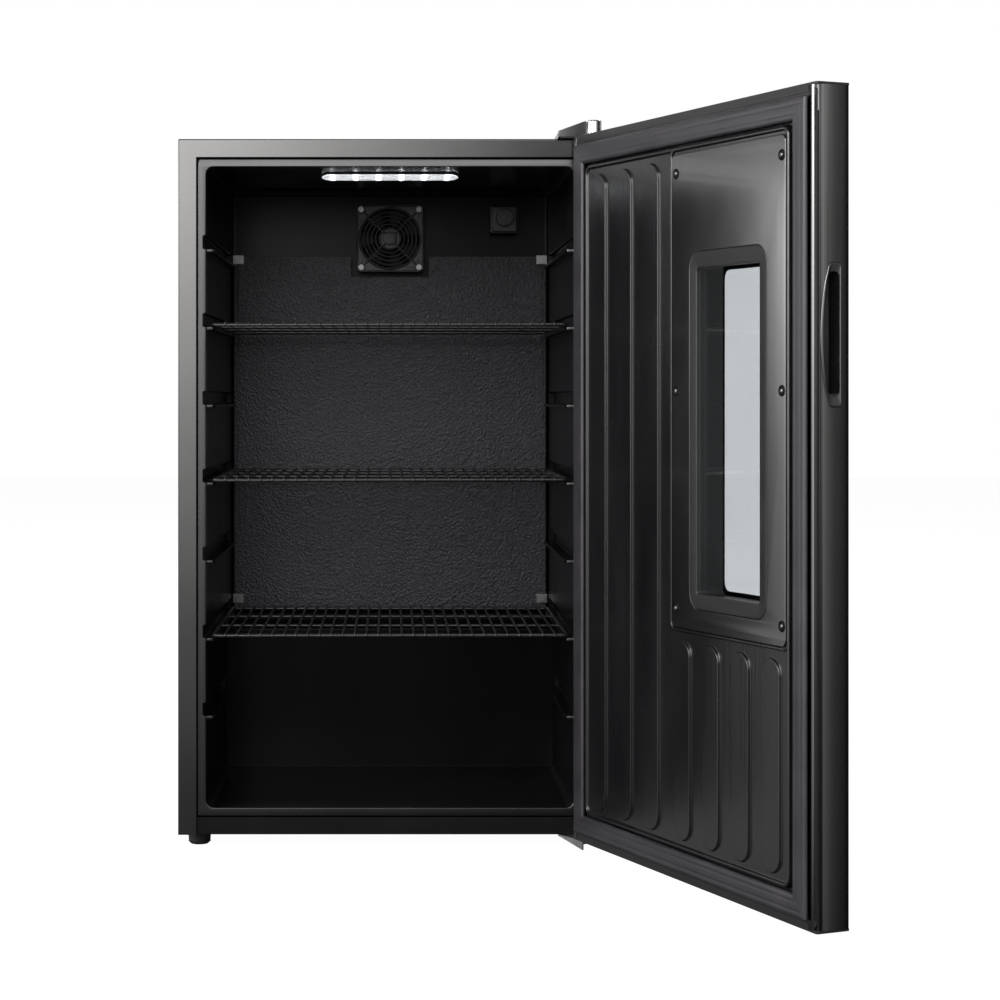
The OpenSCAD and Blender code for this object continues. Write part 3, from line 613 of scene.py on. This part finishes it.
def soften(node, width, angle=38, segments=2):
    """Rounds the hard edges of a CAD node that stays in view. Its stored normals go first."""
    obj = frame["nodes"][node]
    custom = obj.data.attributes.get("custom_normal")
    if custom:
        obj.data.attributes.remove(custom)
    obj.data.polygons.foreach_set("use_smooth", [True] * len(obj.data.polygons))
    weld = obj.modifiers.new("weld", "WELD")
    weld.merge_threshold = CAD_WELD
    bevel = obj.modifiers.new("edges", "BEVEL")
    bevel.width = width * MM
    bevel.segments = segments
    bevel.limit_method = "ANGLE"
    bevel.angle_limit = math.radians(angle)
    bevel.use_clamp_overlap = False
    bevel.miter_outer = "MITER_ARC"
    smooth = obj.modifiers.new("normals", "WEIGHTED_NORMAL")
    smooth.keep_sharp = True


# CAD nodes whose looks differ from their slot's
OWN_FINISH = {
    "front_rail": "rail_paint", "fan_screws": "screw_steel",
    "evaporator_screws": "screw_steel", "evaporator_clips": "screw_steel",
}


def finish_nodes():
    """Every CAD node gets its slot's procedural material, or its own."""
    slots = {p["node"]: p["material_slot"] for p in frame["record"]["subparts"]}
    for name, obj in frame["nodes"].items():
        obj.data.materials.clear()
        obj.data.materials.append(FINISHES[OWN_FINISH.get(name, slots[name])])


# Width of the steel border round the opening, and thickness of the folded steel
FLANGE = 22.8
SHEET = 0.6


def cabinet_wrap():
    """The folded steel wrap: rear flange, sides and top, and the border round the opening."""
    fold, inner_fold = 2.0, 0.9
    # As (distance in from the outer faces, y), from the rear flange round to the opening
    profile = [(14, BACK), (2, BACK)]
    profile += arc(1, BACK - 1, 1, 90, 180, 3)
    profile += arc(fold, FRONT + fold, fold, 180, 270, 6)
    profile += arc(FLANGE - inner_fold, FRONT + inner_fold, inner_fold, 270, 360, 4)
    profile.append((FLANGE, FRONT + 12))

    def level(inset, y):
        """The cabinet's open outline, up one side, over the top and down the other."""
        r = max(1.6 - inset, 0.25)
        x, z = HALF_WIDTH - inset, TOP - inset
        left = [(-x, BASE)] + arc(-x + r, z - r, r, 180, 90, 4)
        right = arc(x - r, z - r, r, 90, 0, 4) + [(x, BASE)]
        return upright(left + right, y)

    piece(
        "cabinet_wrap", [loft([level(*p) for p in profile], closed=False)],
        "cabinet", "black_stainless", ["cabinet_shell"], sheet=SHEET,
    )


# Depth of the door, corner radius of its hinge side, and what shows of each end cap past the wrap
DOOR_DEEP, DOOR_CORNER = 40, 3.2
CAP = 2.5
# The finger pull's slot, as (t0, z0, t1, z1), and the bow of its trim
SLOT = (13.7, 553.4, 26.5, 678.4)
BOW_CENTRE, BOW_RADIUS = (302, 615), 297.4


def door_wrap():
    """Folded steel wrap of the door. Its free side holds the pull, and rolls to the inner face."""
    low, high = DOOR_LOW + CAP, DOOR_HIGH - CAP
    pull_t, pull_z = (SLOT[0] - 0.7, SLOT[2] + 0.7), (SLOT[1] - 1.4, SLOT[3] + 1.6)
    levels = [low, pull_z[0], pull_z[1], high]
    # How far the free side stands back from the full width at each depth
    rolled = [
        (14, 0), (10, 0), (9, 0.2), (8, 0.55), (7, 1.0), (6, 1.55), (5, 2.25), (4, 3.1), (3, 4.3),
        (2, 6), (1.35, 8), (1, 9.6), (0.8, 11.2), (0.5, pull_t[0]), (0.3, 15), (0.1, 18), (0, 21),
        (0, 25), (0.05, pull_t[1]), (0.25, 33), (0.6, 35.6), (1.15, 37.4), (2.2, 38.8), (3.7, 39.7),
        (5.2, DOOR_DEEP),
    ]
    free = [(DOOR_WIDTH - d, t) for d, t in rolled]
    r = DOOR_CORNER
    hinge_side = arc(r, DOOR_DEEP - r, r, 90, 180, 6) + arc(r, r, r, 180, 270, 6)
    hinge_side.append((9.0, 0.0))

    def strip(outline, z_levels, gap=None):
        """An outline drawn up through the levels, with a gap in t between the middle two."""
        points = [(u, t, z) for z in z_levels for u, t in outline]
        n, faces = len(outline), []
        for k in range(len(z_levels) - 1):
            for i in range(n - 1):
                if gap and k == 1 and gap[0] <= outline[i][1] < gap[1]:
                    continue
                faces.append((k * n + i, k * n + i + 1, (k + 1) * n + i + 1, (k + 1) * n + i))
        return points, faces

    free_end, hinge_end = free[-1][0], hinge_side[0][0]
    face = [(free_end, low), (free_end, high), (hinge_end, high), (hinge_end, low)]
    window = round_rect(*OUTER_HOLE, 10)
    parts = [
        strip(free, levels, pull_t),
        strip(hinge_side, [low, high]),
        flat_region(upright(face, DOOR_DEEP), [upright(window, DOOR_DEEP)]),
    ]
    piece(
        "door_wrap", parts, "door", "black_stainless", ["door_skin"], ON_DOOR,
        sharp=30, sheet=-SHEET,
    )


def finger_pull():
    """Bowed trim of the finger pull, dished towards its slot, and the slot's walls."""
    t0, z0, t1, z1 = SLOT
    # Corner radius of the slot, and the heights of the points down its side that the bow follows
    r, heights = 5, [z1 - 10 - 13 * i for i in range(9)]
    slot = arc(t1 - r, z0 + r, r, -90, 0, 6) + arc(t1 - r, z1 - r, r, 0, 90, 6)
    slot += arc(t0 + r, z1 - r, r, 90, 180, 6) + [(t0, z) for z in heights]
    slot += arc(t0 + r, z0 + r, r, 180, 270, 6)
    bow_t, bow_z = BOW_CENTRE
    bow = [(bow_t - math.sqrt(BOW_RADIUS ** 2 - (z - bow_z) ** 2), z) for z in heights]
    outer = arc(26.9, 543, 1, -90, 0, 6) + arc(26.9, 687, 1, 0, 90, 6)
    outer += arc(18.6, 683, 5, 90, 165, 6) + bow + arc(18.6, 547, 5, 195, 270, 6)
    # Share of the way from outline to slot, and height over the door's side
    profile = [
        (0, -0.6), (0, 0.3), (0.05, 0.8), (0.12, 1.35), (0.19, 1.55), (0.25, 1.5), (0.6, 1.05),
        (1, 0.5), (1, -31),
    ]
    loops = [[(DOOR_WIDTH + h, t, z) for t, z in mixed(outer, slot, f)] for f, h in profile]
    piece(
        "finger_pull", [loft(loops, cap_end=True)], "door", "black_plastic", ["handle_pocket"],
        ON_DOOR, sharp=60, finish="pull_plastic",
    )


# Raised field of the door's inner sheet, its ribs, the window's holes in the sheet and in the
# outer steel, and the panel with the bead round it, as (u0, z0, u1, z1)
FIELD = (40, 54.5, 478, 829)
LONG_RIBS = [(u, 65, u + 38.5, 816) for u in (54.3, 115.2, 177.1)]
SHORT_RIBS = [(u, 65.4, u + 35, 285.4) for u in (248.9, 308, 367.4, 426.4)]
HOLE = (283, 320.6, 439.8, 712.4)
OUTER_HOLE = (286.8, 340.4, 436, 692)
PANEL_SEAT = (240.6, 294.4, 477, 828)
PANEL = (245.2, 299, 472.7, 819.8)
# Depths of the sheet's field, rim and ribs, of the hidden edges behind it, and of the panel's
# back and face
FIELD_T, RIM_T, RIB_T, SHEET_BACK_T = -4.0, -6.2, -6.8, 2.8
PANEL_BACK_T, PANEL_T = -4.15, -7.0
PANEL_SCREWS = [(u, z) for u in (255.7, 466.3) for z in (320, 559.2, 798.8)]
SCREW_HOLE = 2.6
TURN_16 = full_turn(16)


def door_inner_sheet():
    """Thermoformed inner sheet of the door: margin, raised field with a rim, ribs, panel seat."""
    def field_loop(d, t):
        return upright(round_rect(*drawn_in(FIELD, d), 12 - d), t)

    def rib_loop(rect, d, t):
        return upright(round_rect(*drawn_in(rect, d), (rect[2] - rect[0]) / 2 - 0.1 - d), t)

    margin = upright(round_rect(2.2, DOOR_LOW + 6, DOOR_WIDTH - 2.2, DOOR_HIGH - 6, 3), 1)
    margin_back = [(u, SHEET_BACK_T, z) for u, t, z in margin]
    rim = [(-2.5, 1), (0, 1), (0.8, RIM_T), (4.6, RIM_T), (5.2, FIELD_T), (7.5, FIELD_T)]
    rim = fillet(rim, 1.6)
    parts = [
        loft([margin_back, margin]),
        flat_region(margin, [field_loop(*rim[0])]),
        loft([field_loop(d, t) for d, t in rim]),
    ]
    rib = fillet([(-1.2, FIELD_T), (0, FIELD_T), (0.8, RIB_T), (3.2, RIB_T)], 0.6)
    ribs = LONG_RIBS + SHORT_RIBS
    for rect in ribs:
        parts.append(loft([rib_loop(rect, d, t) for d, t in rib], cap_end=True))
    hole = upright(round_rect(*HOLE, 8), FIELD_T)
    parts.append(flat_region(field_loop(*rim[-1]), [rib_loop(r, *rib[0]) for r in ribs] + [hole]))
    parts.append(loft([hole, [(u, SHEET_BACK_T, z) for u, t, z in hole]]))
    bead = [
        (0, -3.6), (0.15, -5.4), (0.7, -6.1), (1.5, -6.3),
        (2.6, -6.3), (3.4, -6.1), (3.9, -5.4), (4, -3.6),
    ]
    parts.append(loft([upright(round_rect(*drawn_in(PANEL_SEAT, d), 10 - d), t) for d, t in bead]))
    piece(
        "door_inner_sheet", parts, "door", "liner_plastic", ["door_liner"], ON_DOOR,
        sharp=50, finish="door_sheet",
    )


def door_seal():
    """Magnetic gasket: a bulb on a narrower foot, mitred at the corners."""
    outer = (11, DOOR_LOW + 10.4, DOOR_WIDTH - 11, DOOR_HIGH - 12.4)
    # As (distance in from the outer edge, t): the outer half, mirrored for the inner one
    half = [
        (6.2, 0.95), (5.8, -0.4), (5.2, -1.7), (3.4, -2.2), (1.2, -2.6), (0.2, -3.4), (0, -4.4),
        (0.5, -5.5), (1.7, -6.4), (3.6, -6.9), (6.2, -6.95), (7.2, -6.5), (8.2, -6.9), (10.4, -7),
    ]
    width = 24  # of the whole gasket
    profile = half + [(width - a, t) for a, t in reversed(half)]
    loops = []
    for a, t in profile:
        r = 3 - a if a < 2.6 else 0.4
        loops.append(upright(round_rect(*drawn_in(outer, a), r, 4), t))
    piece(
        "door_seal", [loft([*loops, loops[0]])], "door", "gasket_vinyl", ["door_gasket"], ON_DOOR,
        sharp=60,
    )


def window_surround():
    """Matt moulded frame that falls gently from the panel to the window's edge."""
    outer = round_rect(284.8, 322.4, 437.9, 710.6, 19.8, 10)
    opening = round_rect(298, 339, 423.5, 692.5, 4, 10)
    # Share of the way from the outer edge to the opening, and depth
    profile = [
        (0.0, -0.3), (0.0, -6.6), (0.02, -7.0), (0.06, -7.2), (0.12, -7.22), (0.5, -6.85),
        (0.88, -6.45), (0.96, -6.3), (1.0, -5.9), (1.0, -0.3),
    ]
    loops = [upright(mixed(outer, opening, f), t) for f, t in profile]
    piece(
        "window_surround", [loft([*loops, loops[0]])], "door", "black_plastic", ["window_bezel"],
        ON_DOOR, sharp=50,
    )


def gloss_cover():
    """Smoked panel over the raised field, with a polished round edge and its screw holes."""
    # As (distance in from the edge, t)
    edge = [(0.0, PANEL_BACK_T), (0.0, -6.3), (0.2, -6.75), (0.7, PANEL_T)]
    hole_edge = [(0.7, PANEL_T), (0.2, -6.8), (0.0, -6.4), (0.0, PANEL_BACK_T)]
    hole = (284.6, 322.2, 438.1, 710.8)
    outer = [upright(round_rect(*drawn_in(PANEL, d), 8 - d), t) for d, t in edge]
    inner = [upright(round_rect(*drawn_in(hole, -d), 20 + d), t) for d, t in hole_edge]
    r, t = SCREW_HOLE, PANEL_T
    screws = [
        [(u + r * math.cos(a), t, z + r * math.sin(a)) for a in TURN_16] for u, z in PANEL_SCREWS
    ]
    parts = [loft(outer), flat_region(outer[-1], [inner[0], *screws]), loft(inner)]
    parts += [loft([s, [(u, PANEL_BACK_T, z) for u, t, z in s]]) for s in screws]
    piece("gloss_cover", parts, "door", "gloss_panel", ["window_panel"], ON_DOOR, sharp=40)


def panel_screws():
    """Pan-head screws in black cup washers."""
    def turned(profile, u, z):
        """A turned part at (u, z), its end closed, from (radius, t) points."""
        loops = [
            [(u + r * math.cos(a), t, z + r * math.sin(a)) for a in TURN_16] for r, t in profile
        ]
        return loft(loops, cap_end=True)

    cup = [(6.0, -7.02), (5.9, -7.5), (5.2, -8.0), (4.4, -8.0), (3.9, -7.4), (3.8, -7.1)]
    head = [
        (1.5, 3.5), (1.5, -7.1), (2.9, -7.1), (3.0, -7.7),
        (2.5, -8.4), (1.5, -8.8), (0.8, -8.8), (0.7, -8.2),
    ]
    piece(
        "panel_cups", [turned(cup, *p) for p in PANEL_SCREWS], "door", "black_plastic",
        place=ON_DOOR, sharp=50, finish="rail_paint",
    )
    piece(
        "panel_screws", [turned(head, *p) for p in PANEL_SCREWS], "door", "zinc_steel",
        ["window_screws"], ON_DOOR, sharp=50, finish="screw_steel",
    )


def wire_shelf(node, body):
    """Welded shelf: a rounded rod frame, two cross rods, and wires turned down over the front."""
    low, high = box_mm(node)
    # Radii of the frame and of the wires, and how far the wires lie above the frame's middle
    rod, wire, lift = 2.5, 1.5, 2.9
    x, y0, y1, z = high.x - rod, low.y + rod, high.y - rod, low.z + rod
    outline = round_rect(-x, y0, x, y1, 6, 6)
    parts = [tube([(px, py, z) for px, py in outline], rod, 14, closed=True)]
    for behind_front in (114, 230):
        y = y0 + behind_front
        parts.append(tube([(-x, y, z + 0.3), (x, y, z + 0.3)], 2, 10))
    # Spacing of the wires, and how many lie on each side of the middle one
    pitch, count = 14.4, 14
    for i in range(-count, count + 1):
        front = [(y0 + py, pz) for py, pz in arc(0, z, lift, 185, 90, 5)]
        path = [(i * pitch, y, h) for y, h in front] + [(i * pitch, y1, z + lift)]
        parts.append(tube(path, wire, 8))
    piece(f"{node}_wires", parts, body, "shelf_wire", [node], sharp=50)


def fan_grille():
    """Fan guard: concentric rings on diagonal arms, a domed hub, and a square rim with ears."""
    low, high = box_mm("fan_guard")
    cx, cz, y0, y1 = (low.x + high.x) / 2, (low.z + high.z) / 2, low.y, high.y
    half, mid = (high.x - low.x) / 2, (low.y + high.y) / 2
    circle = [(math.cos(a), math.sin(a)) for a in full_turn(32)]

    def at(outline, scale, y, x=cx, z=cz):
        """An outline scaled and set upright about (x, z) at depth y."""
        return [(x + px * scale, y, z + pz * scale) for px, pz in outline]

    parts = [ring((cx, mid - 0.3, cz), r, 1.15) for r in (14.5, 20, 25.5, 31, 36.5, 42)]
    edge = half - 1.5
    rim = at(round_rect(-edge, -edge, edge, edge, 6), 1, mid)
    parts.append(tube(rim, 1.45, 10, closed=True))
    for sx, sz in ((1, 1), (-1, 1), (-1, -1), (1, -1)):
        path = [(cx + sx * r, mid + 0.2, cz + sz * r) for r in (6, 20, 38)]
        parts.append(tube(path, 1.7, 10, flat=0.7))
        ear = [
            (2.4, y1), (5.6, y1), (5.8, y0 + 0.8),
            (5.3, y0 + 0.2), (2.6, y0 + 0.2), (2.4, y0 + 0.6),
        ]
        loops = [at(circle, r, y, cx + sx * 40, cz + sz * 40) for r, y in ear]
        parts.append(loft([*loops, loops[0]]))
    dome = [(9.5, y1 - 0.4), (9.5, y0 + 1.2), (9.0, y0 + 0.4), (7, y0 + 0.05), (3, y0)]
    parts.append(loft([at(circle, r, y) for r, y in dome], cap_start=True, cap_end=True))
    piece("fan_grille", parts, "cabinet", "black_plastic", ["fan_guard"], sharp=45)


def hinge_front():
    """Front of the upper hinge's cover, down to the cabinet's top."""
    low, high = box_mm("top_hinge_cover")
    x0, x1, z0 = low.x - 0.4, box_mm("top_hinge_pin")[0].x - 0.2, TOP + 0.3
    outline = [
        (x0, z0), (x1, z0), (x1, high.z - 1.2),
        (x1 - 1, high.z - 1), (x0 + 1.2, z0 + 8), (x0, z0 + 6.8),
    ]
    middle = [sum(values) / len(outline) for values in zip(*outline)]

    def inset(f):
        """The outline drawn the share f of the way to its middle."""
        return [(x + (middle[0] - x) * f, z + (middle[1] - z) * f) for x, z in outline]

    y = low.y - 0.3
    loops = [upright(inset(f), y + d) for f, d in ((0, 2.4), (0, 0.9), (0.03, 0.25), (0.09, 0))]
    piece(
        "hinge_front", [loft(loops, cap_end=True)], "cabinet", "black_plastic",
        sharp=30, finish="hinge_grey",
    )


# ---- stage, light and camera ----

def bare_tree(owner, output):
    """The emptied node tree of a material or world, with its output's surface socket."""
    owner.use_nodes = True
    tree = owner.node_tree
    tree.nodes.clear()
    return tree, tree.nodes.new(output).inputs["Surface"]


def maths(tree, operation, first, second):
    """A Math node on one socket and a second socket or number."""
    node = tree.nodes.new("ShaderNodeMath")
    node.operation = operation
    tree.links.new(first, node.inputs[0])
    if isinstance(second, (int, float)):
        node.inputs[1].default_value = second
    else:
        tree.links.new(second, node.inputs[1])
    return node.outputs[0]


def coloured(tree, kind, colour):
    """A shader of that kind and colour."""
    node = tree.nodes.new(kind)
    node.inputs["Color"].default_value = (*colour, 1)
    return node.outputs[0]


def mix_shaders(tree, first, second):
    """A Mix Shader node between two shaders."""
    mix = tree.nodes.new("ShaderNodeMixShader")
    tree.links.new(first, mix.inputs[1])
    tree.links.new(second, mix.inputs[2])
    return mix


def seen_directly(tree):
    """1 for what the camera sees, also through glass, and 0 for what surfaces mirror."""
    path = tree.nodes.new("ShaderNodeLightPath").outputs
    return maths(tree, "MAXIMUM", path["Is Camera Ray"], path["Is Transmission Ray"])


def falloff(tree, place, axis, offset, stops):
    """Brightness along an axis through (distance, brightness) stops, in metres from offset."""
    low, high = stops[0][0], stops[-1][0]
    dot = tree.nodes.new("ShaderNodeVectorMath")
    dot.operation = "DOT_PRODUCT"
    dot.inputs[1].default_value = axis
    tree.links.new(place, dot.inputs[0])
    spread = tree.nodes.new("ShaderNodeMapRange")
    spread.inputs["From Min"].default_value = low + offset
    spread.inputs["From Max"].default_value = high + offset
    tree.links.new(dot.outputs["Value"], spread.inputs["Value"])
    ramp = tree.nodes.new("ShaderNodeValToRGB")
    brightest = max(b for d, b in stops)
    while len(ramp.color_ramp.elements) < len(stops):
        ramp.color_ramp.elements.new(0.5)
    for element, (d, b) in zip(ramp.color_ramp.elements, stops):
        element.position = (d - low) / (high - low)
        element.color = (b / brightest,) * 3 + (1,)
    tree.links.new(spread.outputs["Result"], ramp.inputs["Fac"])
    return maths(tree, "MULTIPLY", ramp.outputs["Color"], brightest)


def sheet_object(name, corners):
    """A flat four-cornered object with a new material, both of that name."""
    mesh = bpy.data.meshes.new(name)
    mesh.from_pydata(corners, [], [(0, 1, 2, 3)])
    mesh.materials.append(bpy.data.materials.new(name))
    return add_object(name, mesh)


def card(name, centre, right, half_u, half_v, across, upwards):
    """An upright soft light card, unseen by the camera.

    Its brightness is the product of two falloffs, each given as (distance from the centre in
    metres, brightness) stops.
    """
    centre, right, up = Vector(centre), Vector(right).normalized(), Vector((0, 0, 1))
    signs = ((-1, -1), (1, -1), (1, 1), (-1, 1))
    corners = [centre + right * a * half_u + up * b * half_v for a, b in signs]
    obj = sheet_object(name, corners)
    tree, surface = bare_tree(obj.data.materials[0], "ShaderNodeOutputMaterial")
    light = tree.nodes.new("ShaderNodeEmission")
    light.inputs["Color"].default_value = (1, 1, 1, 1)
    place = tree.nodes.new("ShaderNodeTexCoord").outputs["Object"]
    sideways = falloff(tree, place, right, right.dot(centre), across)
    rising = falloff(tree, place, up, centre.z, upwards)
    tree.links.new(maths(tree, "MULTIPLY", sideways, rising), light.inputs["Strength"])
    tree.links.new(light.outputs[0], surface)
    obj.visible_camera = False
    obj.visible_transmission = False


# The lamp under the ceiling: its power in watts, and its place in metres
LAMP_POWER = 0.02
LAMP_PLACE = (0, (FRONT + 103) * MM, 0.829)


def light_scene():
    """A graded key card behind the camera, cards at the sides, above and behind, and the lamp."""
    card(
        "key_card", (0, -4.2, 0.553), (1, 0, 0), 7, 4,
        [(-7, 0.4), (-3, 0.6), (-1.6, 1.4), (-0.9, 5.2), (-0.61, 4.9), (-0.21, 2.85), (0.09, 1.51),
         (0.39, 0.66), (0.56, 0.28), (0.75, 0.25), (1.1, 1.2), (2.6, 1.9), (7, 0.05)],
        [(-4, 0.01), (-1.22, 0.04), (-0.62, 0.14), (-0.01, 0.47), (0.44, 0.85), (0.75, 1.12),
         (1.6, 1.2), (4, 1.0)],
    )
    card(
        "sweep_card", (-2.6, 1.0, 1.0), (0.44, 0.9, 0), 2.4, 1.8,
        [(-2.4, 1.0), (2.4, 1.0)],
        [(-1.8, 0.25), (-0.6, 0.9), (-0.1, 2.9), (0.06, 3.0), (0.13, 1.0), (0.24, 0.2), (1.8, 0.2)],
    )
    card(
        "side_card", (3.16, -1.98, 0.8), (-0.436, -0.9, 0), 2.4, 1.8,
        [(-2.4, 0.04), (-1.2, 0.05), (-0.7, 0.09), (0, 0.2), (0.7, 0.55), (1.6, 1.3), (2.4, 1.9)],
        [(-1.8, 0.3), (-1.3, 0.42), (-0.5, 0.62), (0.22, 0.95), (1.8, 1.6)],
    )
    card(
        "left_card", (-3.2, -2.0, 0.9), (0, 1, 0), 0.9, 1.6,
        [(-0.9, 1.0), (0.5, 1.0), (0.9, 0.2)],
        [(-1.6, 0.8), (-0.4, 3.0), (0, 7.0), (0.5, 14.0), (1.6, 14.0)],
    )
    card(
        "canopy_card", (0, -2.5, 2.15), (1, 0, 0), 2.5, 0.4,
        [(-2.5, 4.6), (-0.2, 4.6), (0.6, 3.3), (2.5, 2.5)],
        [(-0.4, 0.6), (-0.2, 1), (0.4, 1)],
    )
    card(
        "rear_card", (0.3, 3.6, 1.5), (-1, 0, 0), 2.4, 1.3,
        [(-2.4, 1.2), (0, 2.0), (2.4, 2.6)],
        [(-1.3, 0.5), (1.3, 1.5)],
    )
    lamp = bpy.data.lights.new("lamp_glow", "AREA")
    lamp.shape, lamp.size, lamp.size_y, lamp.energy = "RECTANGLE", 0.15, 0.05, LAMP_POWER
    add_object("lamp_glow", lamp).location = LAMP_PLACE


def white_world():
    """White behind the object and through its glass, dim grey for what the surfaces mirror."""
    world = bpy.data.worlds.new("studio")
    bpy.context.scene.world = world
    tree, surface = bare_tree(world, "ShaderNodeOutputWorld")
    dim = coloured(tree, "ShaderNodeBackground", (0.05, 0.05, 0.055))
    white = coloured(tree, "ShaderNodeBackground", (1, 1, 1))
    mix = mix_shaders(tree, dim, white)
    tree.links.new(seen_directly(tree), mix.inputs[0])
    tree.links.new(mix.outputs[0], surface)


# Half the floor's width in metres, the strength of its own glow, and its share of true shading
FLOOR_HALF, FLOOR_GLOW, FLOOR_SHADED = 12, 1.13, 0.14


def pale_floor():
    """A plain floor that reads white and takes a faint contact shadow."""
    h = FLOOR_HALF
    obj = sheet_object("floor", [(-h, -h, 0), (h, -h, 0), (h, h, 0), (-h, h, 0)])
    tree, surface = bare_tree(obj.data.materials[0], "ShaderNodeOutputMaterial")
    glow = tree.nodes.new("ShaderNodeEmission")
    glow.inputs["Strength"].default_value = FLOOR_GLOW
    matte = coloured(tree, "ShaderNodeBsdfDiffuse", grey(0.9))
    dim = coloured(tree, "ShaderNodeBsdfDiffuse", grey(0.06))
    pale = mix_shaders(tree, glow.outputs[0], matte)
    pale.inputs[0].default_value = FLOOR_SHADED
    mix = mix_shaders(tree, dim, pale.outputs[0])
    tree.links.new(seen_directly(tree), mix.inputs[0])
    tree.links.new(mix.outputs[0], surface)
    obj.visible_glossy = False


# The photograph's camera: lens in millimetres, framing shift, and distance from the cabinet's
# front and height in metres
LENS, SHIFT = 79.45, (0.110, -0.1035)
CAMERA_AWAY, CAMERA_UP = 2.695, 0.5534


def place_camera():
    """Level camera in front of the cabinet's middle, shifted to frame the open door."""
    data = bpy.data.cameras.new("camera")
    data.lens, data.sensor_width = LENS, 36
    data.shift_x, data.shift_y = SHIFT
    data.clip_start, data.clip_end = 0.1, 60
    obj = add_object("camera", data)
    obj.location = (0, FRONT * MM - CAMERA_AWAY, CAMERA_UP)
    obj.rotation_euler = (math.pi / 2, 0, 0)
    bpy.context.scene.camera = obj
    bpy.context.scene.view_settings.view_transform = "Standard"


# Edge radius in millimetres of each CAD node that stays in view. The lower hinge's plate has a
# small one, so that its pin still turns freely in the bush.
SOFT_NODES = {
    "inner_liner": 1.2, "front_rail": 0.5, "back_panel": 0.5, "thermostat_housing": 0.8,
    "thermostat_knob": 0.4, "lamp_housing": 0.5, "lamp_lens": 0.4, "top_hinge_plate": 0.5,
    "top_hinge_pin": 0.6, "top_hinge_cover": 1.0, "bottom_hinge_plate": 0.15, "left_foot": 0.6,
    "right_foot": 0.6, "rear_feet": 0.6, "compressor_shell": 0.6, "relay_cover": 1.0,
    "drip_tray": 0.6, "cord_gland": 0.6, "door_top_cap": 0.2, "door_bottom_cap": 0.2,
    "window_inner_glass": 0.4, "window_outer_glass": 0.4, "evaporator_clips": 0.4,
    "fan_frame": 0.5, "fan_rotor": 0.3, "compressor_feet": 0.5, "evaporator_plate": 0.3,
}
# Each shelf's CAD node, and its body
SHELVES = {
    "shelf_top": "shelf_upper", "shelf_middle": "shelf_centre", "shelf_bottom": "shelf_lower",
}


place_camera()
finish_nodes()
for node_name, edge in SOFT_NODES.items():
    soften(node_name, edge)
cabinet_wrap()
door_wrap()
finger_pull()
door_inner_sheet()
door_seal()
window_surround()
gloss_cover()
panel_screws()
for shelf_node, shelf_body in SHELVES.items():
    wire_shelf(shelf_node, shelf_body)
fan_grille()
hinge_front()
pale_floor()
white_world()
light_scene()
